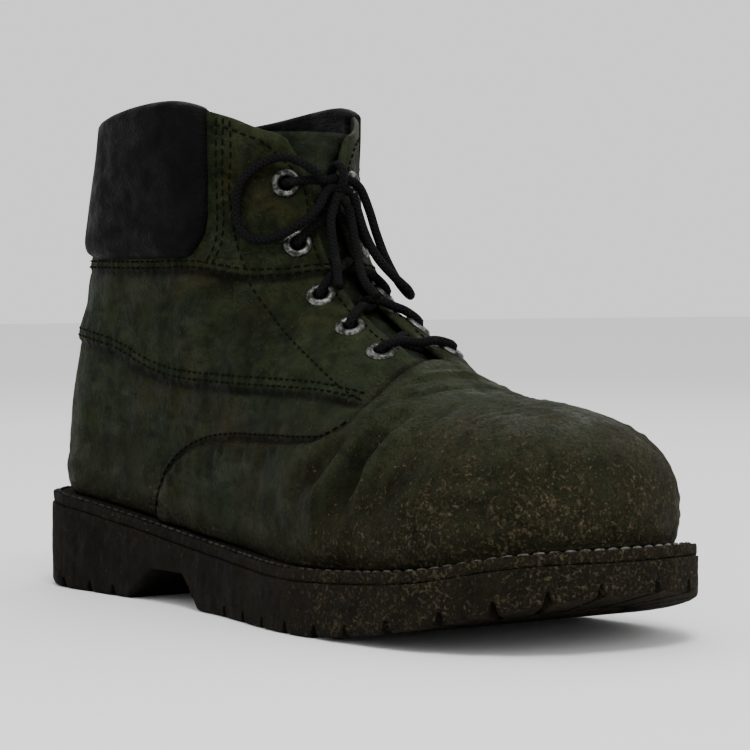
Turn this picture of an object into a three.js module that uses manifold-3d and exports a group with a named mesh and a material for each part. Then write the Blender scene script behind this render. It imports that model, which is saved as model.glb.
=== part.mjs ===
// A right-foot lace-up work boot with a padded collar and a lugged rubber sole.
// Millimetres, +Z up. The toe points along +X and the outer (lateral) side faces -Y.
// The origin is on the floor, under the middle of the sole's length and width.
import * as THREE from "three";
import { mergeVertices } from "three/addons/utils/BufferGeometryUtils.js";
import Module from "manifold-3d";

const wasm = await Module();
wasm.setup();

// ---------------------------------------------------------------- driving dimensions
const SOLE_LENGTH = 312;
const SOLE_WIDTH = 115; // across the ball
const HEEL_HEIGHT = 36; // floor to the top of the welt at the back
const BALL_HEIGHT = 22; // floor to the top of the welt under the ball
const TOE_SPRING = 19; // lift of the sole's underside at the toe tip
const WELT_WIDTH = 5.5; // from the sole's edge to the upper
const WELT_THICKNESS = 4;
const WALL = 2.2; // leather and lining together
const GAP = 0.3; // between pieces that meet
const TOE_CAP = 64; // length of the rounded toe end of the sole
const HEEL_CAP = 42; // length of the rounded heel end of the sole
const LUG_DEPTH = 4.5;
const EYELET_RADIUS = 5.2;
const EYELET_HOLE = 2.4;
const LACE_RADIUS = 1.6;
const TONGUE_THICKNESS = 3;
const PAD_THICKNESS = 3.8;
const SIDES = { lateral: -1, medial: 1 };

const TOE_CENTRE = SOLE_LENGTH / 2 - TOE_CAP;
const HEEL_CENTRE = HEEL_CAP - SOLE_LENGTH / 2;

// ---------------------------------------------------------------- small maths
const mix = (a, b, t) => a + (b - a) * t;
const clamp01 = (t) => Math.min(1, Math.max(0, t));
const smooth = (a, b, x) => {
  const t = clamp01((x - a) / (b - a));
  return t * t * (3 - 2 * t);
};

// A smooth curve through hand-set stations [at, value], level beyond its ends.
function curve(stations) {
  const at = stations.map((s) => s[0]);
  const value = stations.map((s) => s[1]);
  const last = at.length - 1;
  const slope = value.map((_, i) => {
    const a = Math.max(0, i - 1);
    const b = Math.min(last, i + 1);
    return i === 0 || i === last ? 0 : (value[b] - value[a]) / (at[b] - at[a]);
  });
  return (x) => {
    let i = 0;
    while (i < last - 1 && x > at[i + 1]) i += 1;
    const h = at[i + 1] - at[i];
    const t = clamp01((x - at[i]) / h);
    const s = t * t * (3 - 2 * t);
    return (
      mix(value[i], value[i + 1], s) +
      h * t * (1 - t) * ((1 - t) * slope[i] - t * slope[i + 1])
    );
  };
}

// ---------------------------------------------------------------- the sole's plan and levels
const HALF = SOLE_WIDTH / 2;
const PLAN = {
  "-1": curve([[-114, 0.715 * HALF], [-62, 0.715 * HALF], [-12, 0.79 * HALF], [46, 0.988 * HALF], [92, 0.98 * HALF], [128, 0.96 * HALF]]),
  1: curve([[-114, 0.715 * HALF], [-62, 0.69 * HALF], [-12, 0.71 * HALF], [52, 0.93 * HALF], [92, HALF], [128, 0.985 * HALF]]),
};
const TOE_ROUND = 2.3; // exponents of the rounded ends: 2 is an ellipse
const HEEL_ROUND = 2.2;

// A point of the plan outline on one side, u from 0 at the heel's back to 1 at the toe tip, moved inwards by inset.
function planPoint(u, side, inset) {
  const heelShare = 0.16;
  const toeShare = 0.24;
  let x, across;
  if (u < heelShare) {
    const angle = (u / heelShare) * (Math.PI / 2);
    x = HEEL_CENTRE - (HEEL_CAP - inset) * Math.cos(angle) ** (2 / HEEL_ROUND);
    across = Math.sin(angle) ** (2 / HEEL_ROUND);
  } else if (u > 1 - toeShare) {
    const angle = ((1 - u) / toeShare) * (Math.PI / 2);
    x = TOE_CENTRE + (TOE_CAP - inset) * Math.max(0, Math.cos(angle)) ** (2 / TOE_ROUND);
    across = Math.sin(angle) ** (2 / TOE_ROUND);
  } else {
    x = mix(HEEL_CENTRE, TOE_CENTRE, (u - heelShare) / (1 - heelShare - toeShare));
    across = 1;
  }
  return new THREE.Vector2(x, side * (PLAN[side](x) - inset) * across);
}

const weltTop = curve([
  [-156, HEEL_HEIGHT], [-118, HEEL_HEIGHT - 1.5], [-75, HEEL_HEIGHT - 6], [-25, BALL_HEIGHT + 3],
  [20, BALL_HEIGHT + 0.5], [60, BALL_HEIGHT], [110, BALL_HEIGHT + 3.5], [156, BALL_HEIGHT + 11],
]);
const SPRING_START = 50;
const soleBottom = (x) => TOE_SPRING * Math.max(0, (x - SPRING_START) / (SOLE_LENGTH / 2 - SPRING_START)) ** 1.8;

// ---------------------------------------------------------------- the upper's form
// The foot is a dome over the plan outline, the shaft a stack of level ovals, and the two
// run together smoothly at the instep. The field is zero on the leather's outer face.
const crown = curve([[-150, 66], [-70, 84], [-10, 98], [16, 97.5], [32, 93.5], [48, 87], [62, 82], [82, 78.5], [105, 77], [156, 77]]);
const domeRound = curve([[-40, 1.7], [20, 1.9], [70, 2.3], [120, 2.5]]);
const shaftBack = curve([[30, -149.5], [52, -152.5], [90, -146], [125, -135], [150, -127.8], [165, -123.5], [178, -121]]);
const shaftFront = curve([[60, 60], [86, 52], [92, 42], [99.5, 27], [112.5, 11], [130, -1.5], [151, -8], [185, -12]]);
const shaftHalf = curve([[30, 35], [60, 36], [95, 36], [125, 36.5], [150, 38], [185, 39.5]]);
const shaftBackCap = curve([[30, 37], [60, 40], [110, 46], [185, 52]]);
const shaftFrontCap = curve([[60, 95], [104, 90], [129, 72], [151, 62], [185, 56]]);
const RISE = 10; // height above the welt where the foot is widest

function footField(x, y, z) {
  const side = y < 0 ? -1 : 1;
  const half = PLAN[side](x) - WELT_WIDTH;
  const toe = Math.max(0, x - TOE_CENTRE) / (TOE_CAP - WELT_WIDTH);
  const heel = Math.max(0, HEEL_CENTRE - x) / (HEEL_CAP - WELT_WIDTH);
  const n = 2.25;
  const low = weltTop(x) + RISE;
  const tuck = 1 + 0.045 * Math.max(0, (low - z) / RISE) ** 2;
  const plan = (toe ** n + heel ** n + (Math.abs(y) / half) ** n) ** (1 / n) * tuck;
  const rise = Math.max(0, z - low) / (crown(x) - low);
  const m = domeRound(x);
  return ((plan ** m + rise ** m) ** (1 / m) - 1) * 45;
}

function shaftField(x, y, z) {
  const backCap = shaftBackCap(z);
  const frontCap = shaftFrontCap(z);
  const back = Math.max(0, shaftBack(z) + backCap - x) / backCap;
  const front = Math.max(0, x - (shaftFront(z) - frontCap)) / frontCap;
  const n = 2.15;
  const low = weltTop(x) + RISE;
  const tuck = 1 + 0.045 * Math.max(0, (low - z) / RISE) ** 2;
  return ((back ** n + front ** n + (Math.abs(y) / shaftHalf(z)) ** n) ** (1 / n) * tuck - 1) * 40;
}

function field(p) {
  const foot = footField(p.x, p.y, p.z);
  const shaft = shaftField(p.x, p.y, p.z);
  const k = mix(4, 16, smooth(-90, 0, p.x));
  const h = Math.max(0, k - Math.abs(foot - shaft)) / k;
  return Math.min(foot, shaft) - (h * h * k) / 4;
}

// The point of the leather's outer face nearest a guide point, moved out along its normal by lift.
function skin(guide, lift = 0) {
  const p = guide.clone();
  const normal = new THREE.Vector3();
  const step = 0.4;
  for (let i = 0; i < 14; i += 1) {
    const slope = ["x", "y", "z"].map((axis) => {
      const ahead = p.clone();
      const behind = p.clone();
      ahead[axis] += step;
      behind[axis] -= step;
      return (field(ahead) - field(behind)) / (2 * step);
    });
    normal.fromArray(slope);
    const size = normal.lengthSq();
    const move = THREE.MathUtils.clamp(field(p) / size, -12 / Math.sqrt(size), 12 / Math.sqrt(size));
    p.addScaledVector(normal, -move);
  }
  normal.normalize();
  return { point: p.clone().addScaledVector(normal, lift), normal };
}

// ---------------------------------------------------------------- mesh helpers
function solidMesh(name, geometry, material) {
  const mesh = new THREE.Mesh(geometry, material);
  mesh.name = name;
  return mesh;
}

// One indexed geometry from a list of points and a list of triangles.
function fromTriangles(points, triangles) {
  const geometry = new THREE.BufferGeometry();
  const flat = points.flatMap((p) => [p.x, p.y, p.z]);
  geometry.setAttribute("position", new THREE.Float32BufferAttribute(flat, 3));
  geometry.setIndex(triangles.flat());
  return mergeVertices(geometry, 1e-3);
}

function toManifold(geometry) {
  const bare = geometry.clone();
  bare.deleteAttribute("normal");
  bare.deleteAttribute("uv");
  const merged = mergeVertices(bare, 1e-3);
  return new wasm.Manifold(
    new wasm.Mesh({
      numProp: 3,
      vertProperties: merged.attributes.position.array,
      triVerts: new Uint32Array(merged.index.array),
    }),
  );
}

function fromManifold(solid) {
  const mesh = solid.getMesh();
  const geometry = new THREE.BufferGeometry();
  geometry.setAttribute("position", new THREE.BufferAttribute(new Float32Array(mesh.vertProperties), 3));
  geometry.setIndex(new THREE.BufferAttribute(new Uint32Array(mesh.triVerts), 1));
  return geometry;
}

// A closed slab between two grids of points with the same rows and columns, top facing out.
function thickSheet(top, bottom, closed = false) {
  const rows = top.length;
  const columns = top[0].length;
  const points = [...top.flat(), ...bottom.flat()];
  const under = rows * columns;
  const at = (r, c) => r * columns + (c % columns);
  const triangles = [];
  const quad = (a, b, c, d) => triangles.push([a, b, c], [a, c, d]);
  const spans = closed ? columns : columns - 1;
  for (let r = 0; r < rows - 1; r += 1) {
    for (let c = 0; c < spans; c += 1) {
      quad(at(r, c), at(r, c + 1), at(r + 1, c + 1), at(r + 1, c));
      quad(under + at(r, c), under + at(r + 1, c), under + at(r + 1, c + 1), under + at(r, c + 1));
    }
  }
  for (let c = 0; c < spans; c += 1) {
    quad(at(0, c + 1), at(0, c), under + at(0, c), under + at(0, c + 1));
    quad(at(rows - 1, c), at(rows - 1, c + 1), under + at(rows - 1, c + 1), under + at(rows - 1, c));
  }
  if (!closed) {
    for (let r = 0; r < rows - 1; r += 1) {
      quad(at(r, 0), at(r + 1, 0), under + at(r + 1, 0), under + at(r, 0));
      quad(at(r + 1, columns - 1), at(r, columns - 1), under + at(r, columns - 1), under + at(r + 1, columns - 1));
    }
  }
  return fromTriangles(points, triangles);
}

// A slab with the plan outline moved in by inset, between two levels that depend on x only.
function planSlab(inset, lowAt, highAt, steps = 40) {
  const points = [];
  const triangles = [];
  const quad = (a, b, c, d) => triangles.push([a, b, c], [a, c, d]);
  for (let i = 0; i <= steps; i += 1) {
    const lateral = planPoint(i / steps, -1, inset);
    const medial = planPoint(i / steps, 1, inset);
    const low = lowAt(lateral.x);
    const high = highAt(lateral.x);
    points.push(
      new THREE.Vector3(lateral.x, lateral.y, low), new THREE.Vector3(medial.x, medial.y, low),
      new THREE.Vector3(medial.x, medial.y, high), new THREE.Vector3(lateral.x, lateral.y, high),
    );
    if (i === 0) continue;
    const a = 4 * (i - 1);
    const b = 4 * i;
    for (let k = 0; k < 4; k += 1) {
      const next = (k + 1) % 4;
      quad(a + next, b + next, b + k, a + k);
    }
  }
  // The rounded ends close to an upright edge, so the collapsed faces there are dropped.
  const geometry = fromTriangles(points, triangles);
  const index = geometry.index.array;
  const kept = [];
  for (let i = 0; i < index.length; i += 3) {
    const [a, b, c] = [index[i], index[i + 1], index[i + 2]];
    if (a !== b && b !== c && a !== c) kept.push(a, b, c);
  }
  geometry.setIndex(kept);
  return geometry;
}

// A round cord along a smooth path through the given points.
function cordAlong(points, radius, steps, sides = 6) {
  const section = new THREE.Shape();
  for (let i = 0; i < sides; i += 1) {
    const angle = (i / sides) * Math.PI * 2;
    const [x, y] = [Math.cos(angle) * radius, Math.sin(angle) * radius];
    if (i === 0) section.moveTo(x, y);
    else section.lineTo(x, y);
  }
  section.closePath();
  const extrudePath = new THREE.CatmullRomCurve3(points, false, "centripetal");
  return new THREE.ExtrudeGeometry(section, { steps, bevelEnabled: false, extrudePath });
}

// ---------------------------------------------------------------- materials
const finish = (color, roughness, metalness = 0) =>
  new THREE.MeshStandardMaterial({ color, roughness, metalness });
const rubber = finish(0x1d1a17, 0.85);
const weltRubber = finish(0x191816, 0.8);
const leather = finish(0x20241a, 0.75);
const padLeather = finish(0x121213, 0.6);
const tongueLeather = finish(0x1d2118, 0.8);
const board = finish(0x2a2723, 0.95);
const steel = finish(0x6d6d6b, 0.35, 1);
const laceCotton = finish(0x111011, 0.9);

// ---------------------------------------------------------------- sole, welt and insole
const HEEL_BREAST = { floor: -76, top: -58 };
const TREAD_REAR = { floor: -24, top: -36 };
const ARCH_HEIGHT = 12;

function box(cx, cy, cz, sx, sy, sz, turn = 0) {
  const geometry = new THREE.BoxGeometry(sx, sy, sz);
  geometry.rotateZ(turn);
  geometry.translate(cx, cy, cz);
  return toManifold(geometry);
}

function archCut() {
  const side = new THREE.Shape();
  side.moveTo(HEEL_BREAST.floor, -2);
  side.lineTo(HEEL_BREAST.floor, 0);
  side.lineTo(HEEL_BREAST.top, ARCH_HEIGHT);
  side.lineTo(TREAD_REAR.top, ARCH_HEIGHT);
  side.lineTo(TREAD_REAR.floor, 0);
  side.lineTo(TREAD_REAR.floor, -2);
  side.closePath();
  const geometry = new THREE.ExtrudeGeometry(side, { depth: SOLE_WIDTH + 10, bevelEnabled: false });
  geometry.rotateX(Math.PI / 2);
  geometry.translate(0, (SOLE_WIDTH + 10) / 2, 0);
  return toManifold(geometry);
}

// Places along one side's outline, a given distance apart, with the direction of the outline there.
function alongPlan(side, spacing) {
  const places = [];
  let travelled = spacing / 2;
  let last = planPoint(0, side, 0);
  for (let i = 1; i <= 600; i += 1) {
    const here = planPoint(i / 600, side, 0);
    travelled += here.distanceTo(last);
    if (travelled >= spacing) {
      travelled -= spacing;
      places.push({ at: here, turn: Math.atan2(here.y - last.y, here.x - last.x) });
    }
    last = here;
  }
  return places;
}

function outsole() {
  const rebate = (x) => weltTop(x) - WELT_THICKNESS - GAP;
  const plateauInset = 13.5;
  let solid = toManifold(planSlab(0, soleBottom, rebate));
  solid = solid.add(toManifold(planSlab(plateauInset, (x) => rebate(x) - 1, weltTop)));
  solid = solid.subtract(archCut());

  const grooveTop = (x) => soleBottom(x) + LUG_DEPTH;
  const grooveLow = (x) => soleBottom(x) - 2;
  const ringGroove = toManifold(planSlab(17, grooveLow, grooveTop)).subtract(
    toManifold(planSlab(21, (x) => grooveLow(x) - 1, (x) => grooveTop(x) + 1)),
  );
  const centre = toManifold(planSlab(20, grooveLow, grooveTop));
  const treads = [
    { from: -160, to: HEEL_BREAST.floor - 9 },
    { from: TREAD_REAR.floor + 9, to: 160 },
  ];
  const inTread = treads.map((t) => box((t.from + t.to) / 2, 0, 5, t.to - t.from, SOLE_WIDTH, 60));
  const treadZone = inTread[0].add(inTread[1]);
  solid = solid.subtract(ringGroove.intersect(treadZone));
  for (let x = -132; x < 140; x += 19) {
    solid = solid.subtract(centre.intersect(box(x, 0, 5, 4, SOLE_WIDTH, 60)).intersect(treadZone));
  }
  for (const side of Object.values(SIDES)) {
    for (const place of alongPlan(side, 19)) {
      const overArch = place.at.x > HEEL_BREAST.floor - 6 && place.at.x < TREAD_REAR.floor + 6;
      if (overArch) continue;
      const slit = box(place.at.x, place.at.y, soleBottom(place.at.x) + 1.2, 2, 38, 6, place.turn);
      solid = solid.subtract(slit);
    }
  }
  return solidMesh("outsole", fromManifold(solid), rubber);
}

function welt() {
  const low = (x) => weltTop(x) - WELT_THICKNESS;
  const ring = toManifold(planSlab(0.8, low, weltTop)).subtract(
    toManifold(planSlab(13.2, (x) => low(x) - 2, (x) => weltTop(x) + 2)),
  );
  return solidMesh("welt", fromManifold(ring), weltRubber);
}

function insole() {
  const inset = WELT_WIDTH + WALL + 3;
  const slab = planSlab(inset, (x) => weltTop(x) + GAP, (x) => weltTop(x) + GAP + 4);
  return solidMesh("insole", slab, board);
}

// ---------------------------------------------------------------- upper
const collarLine = curve([[-130, 167.5], [-98, 172.5], [-66, 176.5], [-46, 177], [-28, 172.5], [-14, 166]]);
const THROAT_HALF = 6.5; // from the centre line to the edge of the lace facings
// The centre line of the instep, from the collar's front down to the vamp, as guide points.
const INSTEP = [[-12, 165], [-8.8, 150.5], [-2.5, 130], [10, 112.5], [26, 99.5], [41, 92], [50, 87]];

// Evenly spaced points along a list of guide points, joined smoothly.
function spread(guides, count) {
  const path = new THREE.CatmullRomCurve3(guides, false, "centripetal");
  return path.getSpacedPoints(count - 1);
}

const throatHalf = (z) => THROAT_HALF + 7 * smooth(152, 165, z) ** 2; // the facing's top corner is rounded
const COLLAR_CENTRE = -68;
const COLLAR_HALF = 55;

const COLUMNS = { collar: 13, throat: 9, base: 2, ridge: 10 }; // on each side, back to toe

// The upper's top boundary on one side, from the heel's back to the front end of the vamp's ridge.
function topBoundary(side) {
  const collar = [];
  const corner = Math.PI - 0.3;
  for (let i = 0; i <= 24; i += 1) {
    const angle = (i / 24) * corner;
    const x = COLLAR_CENTRE - COLLAR_HALF * Math.cos(angle);
    collar.push(new THREE.Vector3(x, side * 41 * Math.sin(angle), collarLine(x)));
  }
  const throat = INSTEP.map(([x, z]) => new THREE.Vector3(x, side * throatHalf(z), z));
  const [baseX, baseZ] = INSTEP[INSTEP.length - 1];
  const base = [new THREE.Vector3(baseX, side * THROAT_HALF, baseZ), new THREE.Vector3(baseX + 3, 0, baseZ)];
  const ridge = [baseX + 3, 64, 82, 100].map((x) => new THREE.Vector3(x, 0, crown(x)));
  collar[collar.length - 1].copy(throat[0]);
  return [
    ...spread(collar, COLUMNS.collar + 1).slice(0, -1),
    ...spread(throat, COLUMNS.throat + 1).slice(0, -1),
    ...spread(base, COLUMNS.base + 1).slice(0, -1),
    ...spread(ridge, COLUMNS.ridge + 1),
  ];
}

// The feather line, where the upper meets the welt, at the columns of the top boundary.
function feather(side) {
  const marks = [0, 0.435, 0.6, 0.625, 1]; // shares of the outline under each corner of the top boundary
  const counts = Object.values(COLUMNS);
  const outline = [];
  for (let i = 0; i <= 200; i += 1) {
    const p = planPoint(i / 200, side, WELT_WIDTH + 1.6);
    outline.push(new THREE.Vector3(p.x, p.y, weltTop(p.x) + GAP));
  }
  const even = new THREE.CatmullRomCurve3(outline).getSpacedPoints(1000);
  const line = [];
  counts.forEach((count, part) => {
    for (let i = 0; i < count; i += 1) line.push(even[Math.round(1000 * mix(marks[part], marks[part + 1], i / count))]);
  });
  return [...line, even[1000]];
}

const ROWS = 9;

// One column of the upper, from the feather line up, evenly spaced on the outer face.
function column(low, high, bend) {
  const fine = 36;
  const traced = [];
  for (let i = 0; i <= fine; i += 1) {
    const t = i / fine;
    const turn = (t * Math.PI) / 2;
    const flat = mix(1 - t, Math.cos(turn), bend);
    const guide = new THREE.Vector3(
      mix(high.x, low.x, flat), mix(high.y, low.y, flat), mix(low.z, high.z, mix(t, Math.sin(turn), bend)),
    );
    const found = i === 0 ? guide : skin(guide).point;
    traced.push(found);
  }
  const even = new THREE.CatmullRomCurve3(traced, false, "centripetal").getSpacedPoints(ROWS);
  return even.map((p, i) => {
    const { point, normal } = skin(p);
    if (i === 0) point.set(p.x, p.y, p.z);
    return { point, normal };
  });
}

function upperShell() {
  const counts = Object.values(COLUMNS);
  const total = counts.reduce((a, b) => a + b, 0);
  const bendAt = (i) => smooth(counts[0] * 0.9, counts[0] + counts[1] + 1, i) * 0.98 + 0.02;
  const around = [];
  for (const side of [-1, 1]) {
    const low = feather(side);
    const high = topBoundary(side);
    const columns = low.map((p, i) => column(p, high[i], bendAt(i)));
    if (side < 0) around.push(...columns);
    else around.push(...columns.slice(1, -1).reverse());
  }
  const size = around.length; // a closed loop of columns: heel back, lateral, toe tip, medial
  const partner = (i) => (size - i) % size;
  const ridgeFrom = counts[0] + counts[1] + counts[2];
  const onRidge = (i) => Math.min(i, partner(i)) >= ridgeFrom;
  const heelOrToe = (i) => i === 0 || i === total;
  const points = [];
  const place = (i, row, depth) => {
    const shared = row === ROWS && onRidge(i) ? Math.min(i, partner(i)) : i;
    const { point, normal } = around[shared][row];
    const moved = point.clone().addScaledVector(normal, -depth);
    if (heelOrToe(i) || (row === ROWS && onRidge(i))) moved.y = 0;
    if (row === 0) moved.z = point.z;
    return moved;
  };
  const index = (i, row, layer) => (layer * size + (i % size)) * (ROWS + 1) + row;
  for (let layer = 0; layer < 2; layer += 1) {
    for (let i = 0; i < size; i += 1) {
      for (let row = 0; row <= ROWS; row += 1) points.push(place(i, row, layer * WALL));
    }
  }
  const triangles = [];
  const quad = (a, b, c, d) => triangles.push([a, b, c], [a, c, d]);
  for (let i = 0; i < size; i += 1) {
    for (let row = 0; row < ROWS; row += 1) {
      quad(index(i, row, 0), index(i + 1, row, 0), index(i + 1, row + 1, 0), index(i, row + 1, 0));
      quad(index(i, row, 1), index(i, row + 1, 1), index(i + 1, row + 1, 1), index(i + 1, row, 1));
    }
    quad(index(i + 1, 0, 0), index(i, 0, 0), index(i, 0, 1), index(i + 1, 0, 1));
    if (!(onRidge(i) && onRidge((i + 1) % size))) {
      quad(index(i, ROWS, 0), index(i + 1, ROWS, 0), index(i + 1, ROWS, 1), index(i, ROWS, 1));
    }
  }
  return fromTriangles(points, triangles);
}

// The lace eyelets of one facing, bottom to top: distance out from the centre line, and place.
const EYELETS = [[43, 13.5, 88.5], [25.5, 13.5, 97.7], [8.5, 14, 111], [-4.5, 14.5, 129], [-11, 15, 150]];

const eyeletPlace = (side, [x, y, z]) => skin(new THREE.Vector3(x, side * y, z));

// Stands an object that was made along +Z at a place on the leather, along its normal.
function standAt(object, { point, normal }) {
  object.position.copy(point);
  object.quaternion.setFromUnitVectors(new THREE.Vector3(0, 0, 1), normal);
  object.updateMatrix();
  return object;
}

function eyelet(name, place) {
  const profile = [
    [EYELET_HOLE, -WALL], [EYELET_HOLE + 0.6, -WALL], [EYELET_HOLE + 0.6, 0],
    [EYELET_RADIUS, 0], [EYELET_RADIUS - 0.9, 1.2], [EYELET_HOLE + 0.2, 1.2], [EYELET_HOLE, -WALL],
  ].map(([r, z]) => new THREE.Vector2(r, z));
  const geometry = new THREE.LatheGeometry(profile, 10);
  geometry.rotateX(Math.PI / 2);
  return standAt(solidMesh(name, geometry, steel), place);
}

function upper(places) {
  let solid = toManifold(upperShell());
  for (const place of places) {
    const hole = EYELET_HOLE + 0.6 + GAP;
    const seat = EYELET_RADIUS + GAP;
    const profile = [[0, -9], [hole, -9], [hole, -GAP], [seat, -GAP], [seat, 4], [0, 4]];
    const drill = new THREE.LatheGeometry(profile.map(([r, z]) => new THREE.Vector2(r, z)), 10);
    drill.rotateX(Math.PI / 2);
    const { matrix } = standAt(new THREE.Object3D(), place);
    solid = solid.subtract(toManifold(drill.applyMatrix4(matrix)));
  }
  return solidMesh("upper", fromManifold(solid), leather);
}

// ---------------------------------------------------------------- collar pad and tongue
const PAD_BOTTOM = 123.5;
const PAD_FRONT = 2.22; // angle round the collar from its back to the pad's front edge

const PAD_GAP = 0.65; // clears the flats of the faceted upper

function collarPad() {
  const rows = 8;
  const columns = 23;
  const outer = [];
  const inner = [];
  for (let r = 0; r < rows; r += 1) {
    const t = r / (rows - 1);
    const cornerCut = 0.16 * Math.max(0, 1 - t / 0.3) ** 2;
    const outerRow = [];
    const innerRow = [];
    for (let c = 0; c < columns; c += 1) {
      const across = (c / (columns - 1)) * 2 - 1;
      const angle = across * (PAD_FRONT - cornerCut);
      const x = COLLAR_CENTRE - COLLAR_HALF * Math.cos(angle);
      const z = mix(PAD_BOTTOM, collarLine(x) - 0.5, t);
      const guide = new THREE.Vector3(x, -40 * Math.sin(angle), z);
      const { point, normal } = skin(guide);
      const soft = (1 - Math.abs(across) ** 14) ** 0.5 * (1 - Math.abs(2 * t - 1) ** 10) ** 0.5;
      innerRow.push(point.clone().addScaledVector(normal, PAD_GAP));
      outerRow.push(point.clone().addScaledVector(normal, PAD_GAP + 1.4 + (PAD_THICKNESS - 1.4) * soft));
    }
    outer.push(outerRow);
    inner.push(innerRow);
  }
  return solidMesh("collar_pad", thickSheet(outer, inner), padLeather);
}

function tongue() {
  const line = new THREE.CatmullRomCurve3(
    [[-13.5, 168.5], ...INSTEP.slice(1), [60, 83]].map(([x, z]) => new THREE.Vector3(x, 0, z)), false, "centripetal",
  );
  const rows = 13;
  const columns = 9;
  const outer = [];
  const inner = [];
  for (let r = 0; r < rows; r += 1) {
    const t = r / (rows - 1);
    const middle = line.getPointAt(1 - t);
    const half = mix(24, 31, t);
    const outerRow = [];
    const innerRow = [];
    for (let c = 0; c < columns; c += 1) {
      const across = (c / (columns - 1)) * 2 - 1;
      const drop = 0.011 * (across * half) ** 2;
      const guide = new THREE.Vector3(middle.x - drop, across * half, middle.z - drop * 0.5);
      if (r === rows - 1) guide.z = middle.z;
      const { point, normal } = skin(guide);
      const depth = WALL + 0.95;
      outerRow.push(point.clone().addScaledVector(normal, -depth));
      innerRow.push(point.clone().addScaledVector(normal, -depth - TONGUE_THICKNESS));
    }
    outer.push(outerRow);
    inner.push(innerRow);
  }
  return solidMesh("tongue", thickSheet(outer, inner), tongueLeather);
}

// ---------------------------------------------------------------- laces
const LACE_LIFT = 3.5; // from the leather to the lace's middle, over an eyelet

// The criss-cross and its bottom bar, joined: two zigzags from eyelet to eyelet that meet over the tongue.
function laceCrossings(places) {
  const over = ({ point, normal }) => point.clone().addScaledVector(normal, LACE_LIFT);
  const between = (a, b) =>
    [0.25, 0.5, 0.75].map((t) => skin(a.point.clone().lerp(b.point, t), LACE_LIFT).point);
  const run = (stops) => {
    const points = [over(stops[0])];
    for (let i = 1; i < stops.length; i += 1) points.push(...between(stops[i - 1], stops[i]), over(stops[i]));
    return toManifold(cordAlong(points, LACE_RADIUS, 6 * (stops.length - 1)));
  };
  const { lateral, medial } = places;
  const zig = lateral.map((place, i) => (i % 2 ? medial[i] : place));
  const zag = medial.map((place, i) => (i % 2 ? lateral[i] : place));
  const solid = run(zig).add(run(zag)).add(run([lateral[0], medial[0]]));
  return solidMesh("lace_crossings", fromManifold(solid), laceCotton);
}

// The free stretches of the lace, each a smooth line through points set by hand.
const LACE_ROUTES = {
  lace_loop_lateral: [
    [-1.5, -5, 150.5], [-2.5, -9.5, 154.5], [-8.5, -17, 159], [-16, -23, 156], [-20.5, -27.5, 150], [-22, -28.5, 142],
    [-20.5, -28.5, 135], [-16, -26.5, 130.5], [-9, -22, 130.5], [-1, -16, 135.5], [0.5, -9.5, 141], [-0.5, -5.5, 146.5],
  ],
  lace_loop_medial: [
    [-1, 4.5, 151.5], [-0.5, 9, 149], [0.5, 12.5, 141.5], [2.5, 14.5, 132.5], [5.5, 16.5, 123.5], [10.5, 18.5, 115], [17, 18.5, 110.5],
    [20.5, 15, 112.5], [17, 11, 117.5], [11, 8.5, 124], [5.5, 7.5, 132], [2.5, 6.5, 140], [1.5, 5, 146.5],
  ],
  lace_end_lateral: [[2, -3.5, 142], [3, -5.5, 138], [5.5, -7, 131.5], [9.5, -8.5, 124.5], [13.5, -10.5, 119], [18, -13, 113.5]],
  lace_end_medial: [[2.5, 2.5, 141.5], [3, 3, 138], [6.5, 2, 130.5], [11.5, 0, 123.5], [16, -2.5, 119], [22, -4, 114], [28, -4, 110.5]],
};
const KNOT = { x: -2, z: 151.5, radius: 4.9, width: 3.8, turns: 1.08 };

// The bow's middle, one turn of the lace round the roots of both loops.
function laceKnot() {
  const points = [];
  for (let i = 0; i <= 18; i += 1) {
    const share = i / 18 - 0.5;
    const angle = share * KNOT.turns * Math.PI * 2;
    points.push(new THREE.Vector3(
      KNOT.x + KNOT.radius * Math.cos(angle), KNOT.width * share, KNOT.z + KNOT.radius * Math.sin(angle),
    ));
  }
  return solidMesh("lace_knot", cordAlong(points, LACE_RADIUS, 22), laceCotton);
}

function laceCord(name) {
  const points = LACE_ROUTES[name].map(([x, y, z]) => new THREE.Vector3(x, y, z));
  return solidMesh(name, cordAlong(points, LACE_RADIUS, 3 * points.length), laceCotton);
}

// ---------------------------------------------------------------- assembly
const places = { lateral: [], medial: [] };
for (const [name, side] of Object.entries(SIDES)) {
  places[name] = EYELETS.map((place) => eyeletPlace(side, place));
}

function group(name, ...members) {
  const made = new THREE.Group();
  made.name = name;
  return made.add(...members);
}

const boot = group(
  "work_boot",
  group("bottom", outsole(), welt(), insole()),
  group("shaft", upper([...places.lateral, ...places.medial]), collarPad(), tongue()),
  group("lace", laceCrossings(places), laceKnot(), ...Object.keys(LACE_ROUTES).map(laceCord)),
  group(
    "eyelets",
    ...Object.keys(SIDES).flatMap((name) => places[name].map((place, i) => eyelet(`eyelet_${name}_${i + 1}`, place))),
  ),
);

export default boot;
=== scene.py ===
"""A muddy lace-up work boot for the right foot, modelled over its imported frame.

Every shape is worked out in millimetres from a few driving sizes and written to its mesh in metres.
The toe points along +X, the outer (lateral) side faces -Y, and the floor is at z = 0.
"""

import math

import bmesh
import bpy
import numpy as np
from bpy.props import FloatVectorProperty, PointerProperty
from mathutils import Matrix, Vector


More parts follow.
